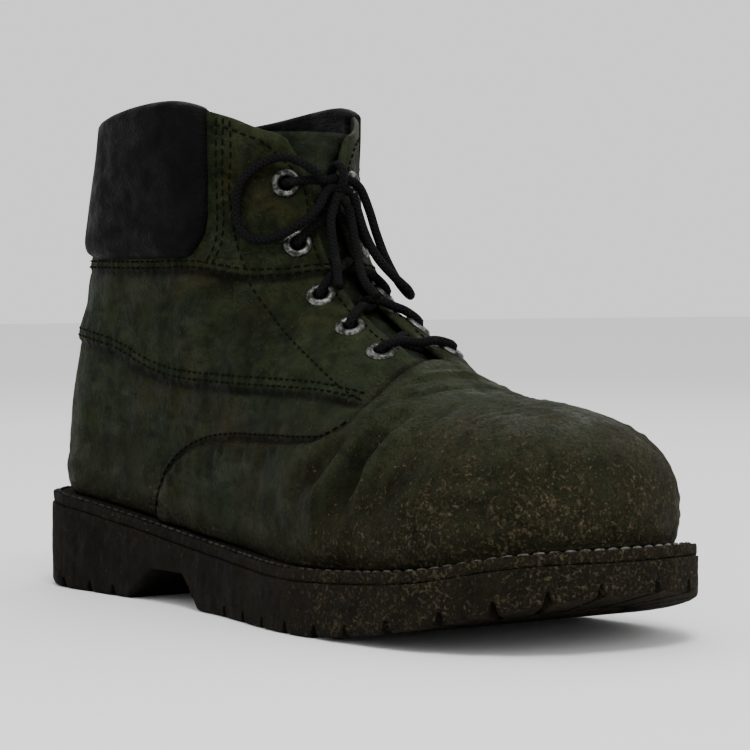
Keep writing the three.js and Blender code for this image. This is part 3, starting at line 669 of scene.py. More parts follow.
@cached
def oiled_leather():
    look = Look("oiled_leather", specular=0.04)
    r, g, b = finishes().leather
    patch = look.fade(look.noise(48, 3, 0.6), 0.36, 0.64)
    colour = look.blend(patch, (r * 0.7, g * 0.88, b * 0.88), (r * 1.15, g * 1.1, b))
    brown = look.fade(look.noise(30, 4, 0.62, distortion=0.6), 0.47, 0.66, 0, 0.8)
    colour = look.blend(brown, colour, (r * 1.65, g * 1.08, b * 0.9))
    mottle = look.fade(look.noise(9, 8, 0.7, distortion=0.7), 0.33, 0.68, 0.45, 1.8)
    colour = look.multiply(colour, mottle)
    # Scuffs, and painted sheen: pale grey patches at random over the leather
    scuff = look.fade(look.noise(17, 9, 0.8, (0.7, 1, 1.4)), 0.5, 0.64, 0, 0.8)
    colour = look.blend(scuff, colour, (r * 2.9, g * 2.75, b * 3.1))
    worn = look.fade(look.noise(2.4, 5, 0.75), 0.56, 0.72, 0, 0.4)
    colour = look.blend(worn, colour, (r * 2.6, g * 2.5, b * 2.7))
    # Dust and painted top light: a pale grey over the up-facing front of the leather
    dust_and_top_light = look.maths("MULTIPLY", look.value("dust_and_top_light"), look.fade(look.noise(9, 7, 0.72), 0.3, 0.75, 0.25, 1))
    colour = look.blend(look.maths("MULTIPLY", dust_and_top_light, 0.7), colour, (r * 4.3, g * 3.9, b * 4.8))
    # Painted shade: darker in the seam grooves and in the crevice above the welt
    colour = look.multiply(colour, look.fade(look.value("seam"), 0.03, 0.3, 0.22, 1.0))
    # Painted shade: darker in the creases
    colour = look.multiply(colour, look.fade(look.value("crease"), 0.1, 1.3, 1.0, 0.42))
    pores = look.maths("MULTIPLY", look.cells(1.1), -1.0)
    wrinkles = look.noise(4.6, 7, 0.7, (1.0, 1.0, 0.7), 0.9)
    normal = look.bump(pores, 0.2, look.bump(wrinkles, 1.3))
    roughness = look.fade(look.noise(12, 4), 0.3, 0.7, 0.42, 0.75)
    return look.finish(*add_mud(look, colour, roughness, look.value("mud"), normal))


@cached
def tongue_leather():
    look = Look("tongue_leather", specular=0.1)
    r, g, b = finishes().leather
    mottle = look.fade(look.noise(6, 6, 0.7), 0.3, 0.75)
    colour = look.blend(mottle, (r * 0.4, g * 0.45, b * 0.5), (r * 1.7, g * 1.7, b * 1.7))
    scuff = look.fade(look.noise(3.2, 6, 0.75, (0.6, 1.6, 0.6)), 0.54, 0.68, 0, 0.6)
    colour = look.blend(scuff, colour, (r * 3.6, g * 3.6, b * 4.0))
    normal = look.bump(look.noise(3.4, 6, 0.7), 1.1)
    normal = look.bump(look.maths("MULTIPLY", look.cells(1.0), -1.0), 0.12, normal)
    return look.finish(colour, look.fade(look.noise(10), 0.3, 0.7, 0.6, 0.85), normal)


@cached
def lining_cloth():
    look = Look("lining_cloth", roughness=0.95, specular=0.05)
    colour = look.blend(look.noise(12, 4), (0.008, 0.008, 0.0075), (0.018, 0.017, 0.014))
    return look.finish(colour, None, look.bump(look.cells(0.9), 0.25))


@cached
def pad_leather():
    look = Look("pad_leather", specular=0.05)
    pad = finishes().pad
    colour = look.blend(look.fade(look.noise(20, 5, 0.65), 0.35, 0.7), shade(pad, 0.7), shade(pad, 1.3))
    scuff = look.fade(look.noise(6, 7, 0.8, (1, 1, 0.5)), 0.55, 0.72, 0, 0.5)
    colour = look.blend(scuff, colour, shade(pad, 2.4))
    normal = look.bump(look.noise(9, 4, 0.6, (0.6, 0.6, 1.5)), 1.2)
    normal = look.bump(look.maths("MULTIPLY", look.cells(0.9), -1.0), 0.14, normal)
    return look.finish(colour, look.fade(look.noise(8, 5), 0.3, 0.7, 0.5, 0.8), normal)


@cached
def muddy_rubber():
    look = Look("muddy_rubber", specular=0.04)
    r, g, b = finishes().rubber
    patch = look.fade(look.noise(14, 6, 0.7), 0.3, 0.7)
    colour = look.blend(patch, (r * 0.55, g * 0.6, b * 0.65), (r * 1.3, g * 1.2, b * 1.1))
    scrape = look.fade(look.noise(3, 7, 0.8, (1, 1, 0.28)), 0.5, 0.66, 0, 0.75)
    colour = look.blend(scrape, colour, (r * 3.2, g * 2.9, b * 2.7))
    normal = look.bump(look.noise(2.4, 7, 0.75, (1, 1, 0.5)), 0.8)
    roughness = look.fade(look.noise(9, 4), 0.3, 0.7, 0.7, 0.92)
    return look.finish(*add_mud(look, colour, roughness, look.value("mud"), normal, cover=0.72))


@cached
def insole_board():
    look = Look("insole_board", roughness=0.95, specular=0.05)
    colour = look.blend(look.noise(14, 5, 0.7), (0.006, 0.0055, 0.005), (0.016, 0.014, 0.011))
    return look.finish(colour, None, look.bump(look.cells(1.3), 0.3))


@cached
def worn_steel():
    look = Look("worn_steel", metallic=1.0)
    bright = look.fade(look.noise(2.6, 6, 0.75), 0.42, 0.66)
    colour = look.blend(bright, (0.022, 0.022, 0.019), finishes().steel)
    roughness = look.fade(look.noise(1.6, 5, 0.7), 0.3, 0.7, 0.3, 0.62)
    return look.finish(colour, roughness, look.bump(look.noise(0.9, 5, 0.7), 0.12))


@cached
def lace_braid():
    look = Look("lace_braid", roughness=0.9, specular=0.06)
    lace = finishes().lace
    uv = look.add("ShaderNodeUVMap", uv_map="lay").outputs["UV"]
    waves = []
    for lean in (1.0, -1.0):
        turned = look.add("ShaderNodeMapping", {"Vector": uv, "Scale": (4.0 * lean, 5.6, 1.0)}).outputs[0]
        parts = look.add("ShaderNodeSeparateXYZ", {"Vector": turned}).outputs
        swing = look.maths("MULTIPLY", look.maths("ADD", parts["X"], parts["Y"]), 2 * math.pi)
        waves.append(look.maths("SINE", swing))
    braid = look.fade(look.maths("MAXIMUM", waves[0], waves[1]), -0.2, 1.0)
    # Painted shade: the braid's colour follows its bump, darker in the hollows and lighter on the ridges
    colour = look.blend(braid, shade(lace, 0.55), shade(lace, 1.15))
    dusty = look.fade(look.noise(5, 6, 0.75), 0.52, 0.74, 0, 0.4)
    colour = look.blend(dusty, colour, shade(finishes().mud, 0.5))
    return look.finish(colour, None, look.bump(braid, 0.35))


@cached
def dark_thread():
    look = Look("dark_thread", roughness=0.85, specular=0.05)
    r, g, b = finishes().leather
    colour = look.blend(look.noise(3, 4, 0.7), (r * 0.1, g * 0.1, b * 0.12), (r * 0.7, g * 0.6, b * 0.6))
    return look.finish(colour, None, look.bump(look.noise(0.5, 3), 0.15))


@cached
def pale_thread():
    look = Look("pale_thread", roughness=0.85, specular=0.08)
    worn = look.fade(look.noise(9, 6, 0.8), 0.38, 0.62)
    colour = look.blend(worn, (0.006, 0.0055, 0.0045), (0.032, 0.03, 0.026))
    forward = look.add("ShaderNodeSeparateXYZ", {"Vector": look.place}).outputs["X"]
    bare = look.maths("MULTIPLY", look.fade(forward, 0.05, 0.15), look.fade(look.noise(5, 5, 0.8), 0.4, 0.62))
    colour = look.blend(bare, colour, (0.1, 0.097, 0.087))
    return look.finish(colour, None, look.bump(look.noise(0.6, 4), 0.25))


# ------------------------------------------------------------------ upper
COLUMNS = {"collar": 140, "throat": 84, "base": 10, "ridge": 102}
ROWS = 106
RIM_ROWS = 5
INNER_ROWS = 14


def throat_half(z):
    return THROAT_HALF + 7 * smooth(152, 165, z) ** 2


def top_boundary(side):
    """The upper's top edge on one side, from the heel's back to the front end of the vamp's ridge."""
    angle = np.linspace(0, math.pi - 0.3, 30)
    x = COLLAR_CENTRE - COLLAR_HALF * np.cos(angle)
    collar = np.stack([x, side * 41 * np.sin(angle), collar_line(x)], axis=1)
    throat = np.array([(x, side * float(throat_half(z)), z) for x, z in INSTEP])
    collar[-1] = throat[0]
    base_x, base_z = INSTEP[-1]
    base = np.array([throat[-1], (base_x + 3, 0, base_z)])
    ridge = np.array([(x, 0, float(crown(x))) for x in (base_x + 3, 64, 82, 100)])
    parts = []
    for guides, count in zip((collar, throat, base, ridge), COLUMNS.values()):
        parts.append(smooth_line(guides, count + 1)[:-1])
    return np.concatenate([*parts, ridge[-1:]])


def feather(side):
    """Where the upper meets the welt, under the columns of the top edge."""
    x, y = plan_points(np.linspace(0, 1, 400), side, WELT_WIDTH + 1.6)
    outline = resample(np.stack([x, y, welt_top(x) + 0.3], axis=1), 2001)
    marks = [0, 0.435, 0.6, 0.625, 1]
    at = [np.linspace(a, b, n, endpoint=False) for a, b, n in zip(marks[:-1], marks[1:], COLUMNS.values())]
    return outline[np.rint(2000 * np.concatenate([*at, [1]])).astype(int)]


def trace_columns(low, high, bend):
    """Columns of evenly spaced points up the outer face, and the normals there."""
    t = np.linspace(0, 1, 40)[None, :, None]
    bend = bend[:, None, None]
    flat = mix(1 - t, np.cos(t * math.pi / 2), bend)
    rise = mix(t, np.sin(t * math.pi / 2), bend)[..., 0]
    guides = high[:, None] + (low - high)[:, None] * flat
    guides[..., 2] = low[:, None, 2] + (high - low)[:, None, 2] * rise
    found, _ = skin(guides)
    found[:, 0] = low
    even = np.stack([resample(column, ROWS + 1) for column in found])
    points, normals = skin(even, rounds=5)
    points[:, 0] = low
    return points, normals


def upper_side(side):
    """One side's outer face: points, normals and its relief's values, column by column."""
    counts = list(COLUMNS.values())
    index = np.arange(sum(counts) + 1)
    scale = counts[0] / 13
    bend = smooth(counts[0] * 0.9, counts[0] + counts[1] + scale, index) * 0.98 + 0.02
    points, normals = trace_columns(feather(side), top_boundary(side), bend)
    for column in (0, -1):
        points[column, :, 1] = normals[column, :, 1] = 0
    ridge = sum(counts[:3])
    points[ridge:, -1, 1] = normals[ridge:, -1, 1] = 0
    normals = unit(normals)
    height, values = relief(points.reshape(-1, 3), normals.reshape(-1, 3), side)
    shape = points.shape[:2]
    values = {name: value.reshape(shape) for name, value in values.items()}
    # The top edge's rows get dust and painted top light of at least 0.7
    values["dust_and_top_light"][:ridge, -2:] = np.maximum(values["dust_and_top_light"][:ridge, -2:], 0.7)
    return points, normals, height.reshape(shape), values


def make_upper():
    """The leather shell: an outer face with its relief, a rolled edge and a lining."""
    sides = [upper_side(side) for side in SIDES.values()]
    ridge = sum(list(COLUMNS.values())[:3])
    lateral, medial = sides
    pairs = [(medial[2], lateral[2])] + [(values, lateral[3][name]) for name, values in medial[3].items()]
    for mine, shared in pairs:
        mine[[0, -1]] = shared[[0, -1]]
        mine[ridge:, -1] = shared[ridge:, -1]
    around = [np.concatenate([a, b[-2::-1]]) for a, b in zip(lateral[:3], medial[:3])]
    points, normals, height = around
    height[:, 0] = np.minimum(height[:, 0], 0)
    outer = points + normals * height[..., None]
    outer[:, 0, 2] = points[:, 0, 2]
    top, out = outer[:, -1], normals[:, -1]
    up = unit(points[:, -1] - points[:, -3])
    up = unit(up - np.sum(up * out, axis=1)[:, None] * out)
    middle = ridge, len(points) - 1 - ridge
    up[list(middle), 1] = 0
    rim = []
    for k in range(1, RIM_ROWS + 1):
        turn = math.pi * k / (RIM_ROWS + 1)
        swing = out * math.cos(turn) + up * math.sin(turn)
        rim.append(top - out * WALL / 2 + swing * WALL / 2)
    inside = np.rint(np.linspace(ROWS, 0, INNER_ROWS)).astype(int)
    inner = outer[:, inside] - normals[:, inside] * WALL
    inner[:, -1, 2] = points[:, 0, 2]
    rows = np.concatenate([outer, np.stack(rim, axis=1), inner, outer[:, :1]], axis=1)
    values = {}
    for name in lateral[3]:
        shown = np.concatenate([lateral[3][name], medial[3][name][-2::-1]])
        # The rolled rim and the lining get no painted seam shade, and dust with painted top light at 0.7
        hidden = {"seam": 1.0, "dust_and_top_light": 0.7}.get(name, 0.0)
        rest = np.full((len(shown), rows.shape[1] - shown.shape[1]), hidden)
        values[name] = np.concatenate([shown, rest], axis=1)
    last = len(points) - 1

    def over_ridge(column, row):
        return min(column, last - 1 - column) >= ridge and ROWS <= row < ROWS + RIM_ROWS + 1

    bm = shape_grid(rows, values, over_ridge, lambda column, row: row > ROWS + 3)
    return finish_piece(bm, "upper_shell", [oiled_leather(), lining_cloth()], ["upper"])


# ------------------------------------------------------------------ collar pad
def make_collar_pad():
    """The padded collar: a crowned band that rolls over the topline and down inside."""
    columns, face_rows, rim_rows, tuck_rows = 120, 34, 8, 8
    across = np.linspace(-1, 1, columns + 1)
    sections = []
    t = np.linspace(0, 1, face_rows + 1)
    for share in across:
        corner = 0.17 * np.maximum(0, 1 - t / 0.3) ** 2
        angle = share * (PAD_FRONT - corner)
        x = COLLAR_CENTRE - COLLAR_HALF * np.cos(angle)
        z = mix(PAD_BOTTOM, collar_line(x), t)
        points, normals = skin(np.stack([x, -40 * np.sin(angle), z], axis=1), rounds=9)
        ends = max(0.0, 1 - abs(share) ** 26) ** 0.5
        soft = ends * np.maximum(0, 1 - np.maximum(0, 1 - t / 0.16) ** 2.4) ** 0.55
        swell = 0.35 * grain(points, 26, 21.0) + 0.16 * grain(points, 9, 23.0)
        face = points + normals * (0.1 + soft * (3.7 + swell))[:, None]
        out = normals[-1]
        up = unit(np.array([0, 0, 1]) - out[2] * out)
        thick = 0.1 + 1.9 * ends
        hub = points[-1] - out * WALL / 2
        first = 0.1 + soft[-1] * (3.7 + swell[-1]) + WALL / 2
        rim = []
        for k in range(1, rim_rows):
            turn = math.pi * k / rim_rows
            wide = mix(first, WALL / 2 + thick, k / rim_rows)
            rim.append(hub + out * wide * math.cos(turn) + up * (WALL / 2 + 1.5 * ends) * math.sin(turn))
        down = np.linspace(1, 0.7, tuck_rows)
        deep = WALL + thick * np.sqrt(np.maximum(0, 1 - np.linspace(0, 1, tuck_rows) ** 3))
        at = np.rint(down * face_rows).astype(int)
        tuck = points[at] - normals[at] * deep[:, None]
        back_in = points[at[::-1]] - normals[at[::-1]] * (WALL - 0.3)
        back_out = points[::-4] - normals[::-4] * 0.3
        back_out[-1] = points[0] - normals[0] * 0.3
        sections.append(np.concatenate([face, rim, tuck, back_in, back_out, face[:1]]))
    bm = shape_grid(np.array(sections))
    bmesh.ops.holes_fill(bm, edges=[e for e in bm.edges if e.is_boundary])
    piece = finish_piece(bm, "collar_padding", [pad_leather()], ["collar_pad"])
    return piece


# ------------------------------------------------------------------ tongue
TONGUE_DEPTH = 5.3


def make_tongue():
    """The tongue: a wrinkled sheet under the facings."""
    columns, rows = 44, 96
    guides = np.array([(-13.5, 0, 168.5), *[(x, 0, z) for x, z in INSTEP[1:]], (60, 0, 83)], float)
    line = smooth_line(guides, rows + 1)[::-1]
    across = np.linspace(-1, 1, columns + 1)
    half = np.linspace(24, 31, rows + 1)
    grid = np.zeros((columns + 1, rows + 1, 3))
    for c, share in enumerate(across):
        drop = 0.011 * (share * half) ** 2
        grid[c] = line + np.stack([-drop, share * half, -0.5 * drop], axis=1)
    grid[:, -1, 2] = line[-1, 2]
    points, normals = skin(grid)
    flat = points.reshape(-1, 3)
    t = np.linspace(0, 1, rows + 1)[None, :]
    wave = 0.5 * np.sin(flat[:, 2] * 0.9 + 3 * grain(flat, 15, 31.0)) + 0.5 * grain(flat, 8, 33.0)
    wave = wave.reshape(points.shape[:2]) * (0.5 + 0.5 * smooth(0.2, 0.9, t))
    roll = 1.0 * hump(t - 0.985, 0.02) + 0.5 * hump(across[:, None], 0.35)
    lift = -TONGUE_DEPTH + 0.7 * wave + roll + 1.4 * smooth(0.86, 1.0, t)
    shaped = points + normals * lift[..., None]
    bm = shape_grid(shaped)
    bmesh.ops.recalc_face_normals(bm, faces=bm.faces)
    if sum(face.normal.x for face in bm.faces) < 0:
        bmesh.ops.reverse_faces(bm, faces=bm.faces)
    bmesh.ops.solidify(bm, geom=bm.faces[:], thickness=2.6 * MM)
    return finish_piece(bm, "tongue_leather_piece", [tongue_leather()], ["tongue"])


# ------------------------------------------------------------------ sole
STATIONS = 330
SLIT_EVERY = 16


def around_sole(inset, level, columns=STATIONS):
    """Rows of points round the whole outline: insets and levels given for each row."""
    u = np.linspace(0, 1, columns + 1)
    rows = []
    for k, amount in enumerate(inset):
        x, y = plan_points(u, -1, amount)
        x2, y2 = plan_points(u, 1, amount)
        x, y = np.concatenate([x, x2[-2::-1]]), np.concatenate([y, y2[-2::-1]])
        rows.append(np.stack([x, y, level(k, x)], axis=1))
    return np.stack(rows, axis=1)


def across_sole(inset, level, rows, columns=STATIONS):
    """A ladder of points from the lateral to the medial side, inside an inset outline."""
    u = np.linspace(0, 1, columns + 1)
    x, y = plan_points(u, -1, inset)
    _, y2 = plan_points(u, 1, inset)
    t = np.linspace(0, 1, rows + 1)
    grid = np.zeros((columns + 1, rows + 1, 3))
    grid[..., 0] = x[:, None]
    grid[..., 1] = mix(y[:, None], y2[:, None], t[None, :])
    grid[..., 2] = level(grid[..., 0], grid[..., 1])
    return grid


def in_tread(x):
    """True where the sole meets the floor, outside the arch."""
    return (x < -85) | (x > -15)


def groove_depth(x, y):
    """The tread's inner grooves: a ring inside the lugs and bars across the middle."""
    half = plan_half(x, np.sign(y))
    toe = np.maximum(0, x - TOE_CENTRE) / TOE_CAP
    heel = np.maximum(0, HEEL_CENTRE - x) / HEEL_CAP
    rho = (toe**2.25 + heel**2.25 + (np.abs(y) / half) ** 2.25) ** (1 / 2.25)
    depth_in = (1 - rho) * np.minimum(half, TOE_CAP)
    ring = (depth_in > 17) & (depth_in < 21)
    bars = (np.abs((x + 132 + 9.5) % 19 - 9.5) < 2) & (depth_in > 20) & (x < 140)
    return np.where((ring | bars) & in_tread(x), 4.5, 0.0)


def join(into, other):
    """Adds another bmesh to this one."""
    mesh = bpy.data.meshes.new("joined")
    other.to_mesh(mesh)
    other.free()
    into.from_mesh(mesh)
    bpy.data.meshes.remove(mesh)


def sole_mud(points, floor_mud=0.5):
    """How muddy the sole is, more towards the toe."""
    flat = points.reshape(-1, 3)
    toe = smooth(-60, 130, flat[:, 0])
    mud = floor_mud - 0.3 + 0.75 * toe + 0.3 * grain(flat, 19, 41.0) + 0.2 * grain(flat, 7, 43.0)
    return np.clip(mud, 0, 1).reshape(points.shape[:2])


def make_outsole():
    """The outsole: its edge, its tread with slits and grooves, and its flat top."""
    inner = 22.0
    tread_edge, top_edge = [18, 14, 10, 6, 3.5, 1.8, 0.9, 0.35, 0.05], [0.05, 0.5, 3, 9, 13.5]
    inset = np.array([inner, *tread_edge, *[0.0] * 18, *top_edge, inner])
    share = np.array([*[0] * 7, 0.012, 0.035, 0.07, *np.linspace(0.1, 0.96, 18), 0.99, *[1] * 5])

    def level(k, x):
        base = mix(tread_level(x), welt_top(x) - WELT_THICKNESS - 0.05, share[k])
        return np.where(inset[k] > 13.4, welt_top(x), base) if k > 28 else base

    rows = around_sole(inset, level)
    columns = np.arange(rows.shape[0])
    x = rows[:, 0, 0]
    slit = (columns % SLIT_EVERY < 2) & ((x < -82) | (x > -18))
    deep = tread_level(rows[..., 0]) + 4.2
    cut = slit[:, None] & (inset[None, :] < 19) & (np.arange(len(inset))[None, :] < 29)
    rows[..., 2] = np.where(cut, np.maximum(rows[..., 2], deep), rows[..., 2])
    wall = (np.arange(len(inset)) > 6) & (np.arange(len(inset)) < 29)
    flat = rows.reshape(-1, 3)
    rough = 0.3 * grain(flat, 12, 45.0) + 0.22 * grain(flat, 3.2, 47.0)
    clods = np.maximum(0, grain(flat, 5.5, 49.0) - 0.25) * np.maximum(0, grain(flat, 21, 51.0) + 0.2) * 3.0
    push = (rough + clods).reshape(rows.shape[:2]) * wall[None, :]
    outwards = rows[:, 12, :2] - around_sole([4.0], lambda k, x: 0 * x)[:, 0, :2]
    rows[..., :2] += unit(outwards)[:, None, :] * push[..., None]
    for end in (0, STATIONS, 2 * STATIONS):
        rows[end, :, 1] = 0
    bm = shape_grid(rows, {"mud": sole_mud(rows)})
    low = across_sole(inner, lambda x, y: tread_level(x) + groove_depth(x, y), 46)
    join(bm, shape_grid(low, {"mud": sole_mud(low, 0.8)}))
    high = across_sole(inner, lambda x, y: welt_top(x), 6)
    join(bm, shape_grid(high, {"mud": sole_mud(high, 0.2)}))
    bmesh.ops.remove_doubles(bm, verts=bm.verts, dist=WELD)
    close_seams(bm)
    return finish_piece(bm, "outsole_rubber", [muddy_rubber()], ["outsole"])


def close_seams(bm):
    """Closes what is left open between stretches of a shell."""
    rims = [edge for edge in bm.edges if edge.is_boundary]
    if rims:
        bmesh.ops.holes_fill(bm, edges=rims, sides=0)
        bmesh.ops.triangulate(bm, faces=[face for face in bm.faces if len(face.verts) > 4])


def make_welt():
    """The welt: a rounded strip with a channel for its stitches."""
    inset = np.array([13.2, 8, 5.2, 4.2, 3.2, 2.2, 1.4, 0.8, 0.55, 0.5, 0.5, 0.6, 0.9, 3, 13.2, 13.2])
    drop = np.array([0, 0, 0.1, 0.35, 0.55, 0.35, 0.1, 0.1, 0.5, 1.2, 3.0, 3.6, 4, 4, 4, 0])
    rows = around_sole(inset, lambda k, x: welt_top(x) - drop[k])
    flat = rows.reshape(-1, 3)
    bumpy = (0.22 * grain(flat, 9, 53.0) + 0.25 * grain(flat, 2.8, 55.0)).reshape(rows.shape[:2])
    shown = ((inset < 6) & (drop < 3.5))[None, :]
    rows[..., 2] += bumpy * shown * (drop < 2)[None, :]
    outwards = rows[:, 9, :2] - around_sole([4.0], lambda k, x: 0 * x)[:, 0, :2]
    rows[..., :2] += unit(outwards)[:, None, :] * (bumpy * (inset < 2)[None, :])[..., None]
    for end in (0, STATIONS, 2 * STATIONS):
        rows[end, :, 1] = 0
    bm = shape_grid(rows, {"mud": sole_mud(rows, 0.55)})
    return finish_piece(bm, "welt_strip", [muddy_rubber()], ["welt"])


def make_insole():
    """The insole board inside the shell."""
    inset = WELT_WIDTH + WALL + 3
    rise = np.array([0.0, 0.6, 3.2, 3.8, 4.0])
    edge = around_sole(inset + np.array([0, 0, 0, 0.4, 1.2]), lambda k, x: welt_top(x) + 0.3 + rise[k], 160)
    bm = shape_grid(edge)
    top = across_sole(inset + 1.2, lambda x, y: welt_top(x) + 4.3, 20, 160)
    join(bm, shape_grid(top))
    low = across_sole(inset, lambda x, y: welt_top(x) + 0.3, 4, 160)
    join(bm, shape_grid(low))
    bmesh.ops.remove_doubles(bm, verts=bm.verts, dist=WELD)
    close_seams(bm)
    return finish_piece(bm, "insole_board_piece", [insole_board()], ["insole"])


# ------------------------------------------------------------------ eyelets
def make_eyelets():
    """Ten rolled steel rings, five a side, numbered from the bottom."""
    profile = [
        (2.9, -2.1), (2.45, -2.1), (2.4, -0.4), (2.5, 0.5), (2.9, 1.05), (3.5, 1.25),
        (4.2, 1.15), (4.8, 0.75), (5.15, 0.2), (5.15, -0.1), (3.0, -0.1),
    ]
    for name, side in SIDES.items():
        places, axes = eyelet_places(side)
        for k, (place, axis) in enumerate(zip(places, axes), 1):
            bm = bmesh.new()
            ring = [bm.verts.new(Vector((r, 0, z)) * MM) for r, z in profile]
            edges = [bm.edges.new((a, b)) for a, b in zip(ring, ring[1:] + ring[:1])]
            turning = {"cent": (0, 0, 0), "axis": (0, 0, 1), "angle": 2 * math.pi, "steps": 28}
            bmesh.ops.spin(bm, geom=ring + edges, use_merge=True, **turning)
            bmesh.ops.remove_doubles(bm, verts=bm.verts, dist=0.01 * MM)
            turn = Vector((0, 0, 1)).rotation_difference(Vector(axis)).to_matrix().to_4x4()
            bmesh.ops.transform(bm, matrix=Matrix.Translation(Vector(place) * MM) @ turn, verts=bm.verts)
            node = f"eyelet_{name}_{k}"
            finish_piece(bm, f"{node}_ring", [worn_steel()], [node])


# ------------------------------------------------------------------ lace
LACE_ROUTES = {
    "lace_loop_lateral": [
        (-1.5, -5, 150.5), (-2.5, -9.5, 154.5), (-8.5, -17, 159), (-16, -23, 156), (-20.5, -27.5, 150),
        (-22, -28.5, 142), (-20.5, -28.5, 135), (-16, -26.5, 130.5), (-9, -22, 130.5), (-1, -16, 135.5),
        (0.5, -9.5, 141), (-0.5, -5.5, 146.5),
    ],
    "lace_loop_medial": [
        (-1, 4.5, 151.5), (-0.5, 9, 149), (0.5, 12.5, 141.5), (2.5, 14.5, 132.5), (5.5, 16.5, 123.5),
        (10.5, 18.5, 115), (17, 18.5, 110.5), (20.5, 15, 112.5), (17, 11, 117.5), (11, 8.5, 124),
        (5.5, 7.5, 132), (2.5, 6.5, 140), (1.5, 5, 146.5),
    ],
    "lace_end_lateral": [
        (2, -3.5, 142), (3, -5.5, 138), (5.5, -7, 131.5), (9.5, -8.5, 124.5),
        (13.5, -10.5, 119), (18, -13, 113.5),
    ],
    "lace_end_medial": [
        (2.5, 2.5, 141.5), (3, 3, 138), (6.5, 2, 130.5), (11.5, 0, 123.5), (16, -2.5, 119), (22, -4, 114),
        (28, -4, 110.5),
    ],
}
KNOT = {"x": -2.0, "z": 151.5, "radius": 4.9, "width": 3.8, "turns": 1.08}


def knot_route():
    """The turn of lace that ties the bow."""
    share = np.linspace(-0.5, 0.5, 37)
    angle = share * KNOT["turns"] * 2 * math.pi
    x = KNOT["x"] + KNOT["radius"] * np.cos(angle)
    z = KNOT["z"] + KNOT["radius"] * np.sin(angle)
    return np.stack([x, KNOT["width"] * share, z], axis=1)


def crossing(start, end, lifts):
    """Lace points from one eyelet to another over the leather, at the given shares and lifts."""
    guides = np.array([mix(start, end, t) for t, _ in lifts])
    return list(skin(guides, [lift for _, lift in lifts])[0])


def lace_run():
    """The whole lace from the bow down one side of the criss-cross and up the other."""
    lateral, lateral_axes = eyelet_places(-1)
    medial, medial_axes = eyelet_places(1)
    holes = {-1: (lateral, lateral_axes), 1: (medial, medial_axes)}

    def hole(side, k, *lifts):
        places, axes = holes[side]
        return [places[k] + axes[k] * lift for lift in lifts]

    def half(side):
        path = crossing(lateral[0], medial[0], [(0.5, 1.0)])
        path += crossing(holes[side][0][0], holes[-side][0][0], [(0.3, 2.1), (0.16, 2.2)])
        path += hole(side, 0, 1.7, -0.6, -3.2)
        for k in range(4):
            over = 1.7 if (k % 2 == 0) == (side < 0) else -1.7
            start, end = holes[side][0][k], holes[-side][0][k + 1]
            if k == 0:
                path += crossing(start, end, [(0.22, -4.1), (0.5, -3.2 + 0.8 * over), (0.76, -4.1)])
            else:
                dip = [(0.17, 2.3), (0.29, 1.9), (0.5, -0.4 + over), (0.62, -2.2 + 0.5 * over), (0.75, -4.0)]
                path += crossing(start, end, dip)
            side = -side
            path += hole(side, k + 1, -3.6, -0.8, 1.4)
        x, z = KNOT["x"], KNOT["z"]
        path += crossing(holes[side][0][4], holes[-side][0][4], [(0.14, 2.6), (0.27, 3.6)])
        return path + [np.array((x - 0.4, 3.4 * side, z - 0.6)), np.array((x, -0.5 * side, z - 0.4 * side))]

    down, back = half(-1), half(1)
    return smooth_line(down[::-1] + back[1:], 460)


def make_lace():
    """The lace through its eyelets, then the knot, loops and ends as cords."""
    bm, _ = tube(lace_run(), LACE_RADIUS, step=1.3)
    x, z = KNOT["x"], KNOT["z"]
    left, right = LACE_ROUTES["lace_loop_lateral"], LACE_ROUTES["lace_loop_medial"]
    left_end, right_end = LACE_ROUTES["lace_end_lateral"][0], LACE_ROUTES["lace_end_medial"][0]
    tucks = [
        [left[0], (x, -2, z - 0.5), (x + 0.4, 2, z), right[0]],
        [left[-1], (x + 1, -2.2, z - 3), (x + 2.5, 0, z - 6), right_end],
        [right[-1], (x + 2, 2, z - 4), (x + 3, -1.5, z - 6.5), left_end],
    ]
    for tuck in tucks:
        join(bm, tube(smooth_line(tuck, 16), LACE_RADIUS * 0.97)[0])
    finish_piece(bm, "lace_through_eyelets", [lace_braid()], ["lace_crossings"], out=False)
    routes = {"lace_knot": knot_route(), **LACE_ROUTES}
    for name, route in routes.items():
        bm, line = tube(smooth_line(route, 8 * len(route)), LACE_RADIUS, step=1.1)
        cord = finish_piece(bm, f"{name}_cord", [lace_braid()], [name], out=False)
        length = float(np.linalg.norm(np.diff(line, axis=0), axis=1).sum()) * MM
        "object" if "loop" in name or "knot" in name else "bare"
        "hanging" if "end" in name or "medial" in name else "loose"
        [tuple(p * MM) for p in line]


# ------------------------------------------------------------------ stitching
def stitch(bm, centre, way, out, length, radius):
    """One stitch: a short thread that dips into the leather at both ends."""
    across = np.cross(out, way)
    shape = Matrix([[*(across * radius)], [*(out * radius)], [*(way * length / 2)]]).transposed().to_4x4()
    place = Matrix.Translation(Vector(centre) * MM) @ shape @ Matrix.Scale(MM, 4)
    bmesh.ops.create_uvsphere(bm, u_segments=6, v_segments=4, radius=1, matrix=place)


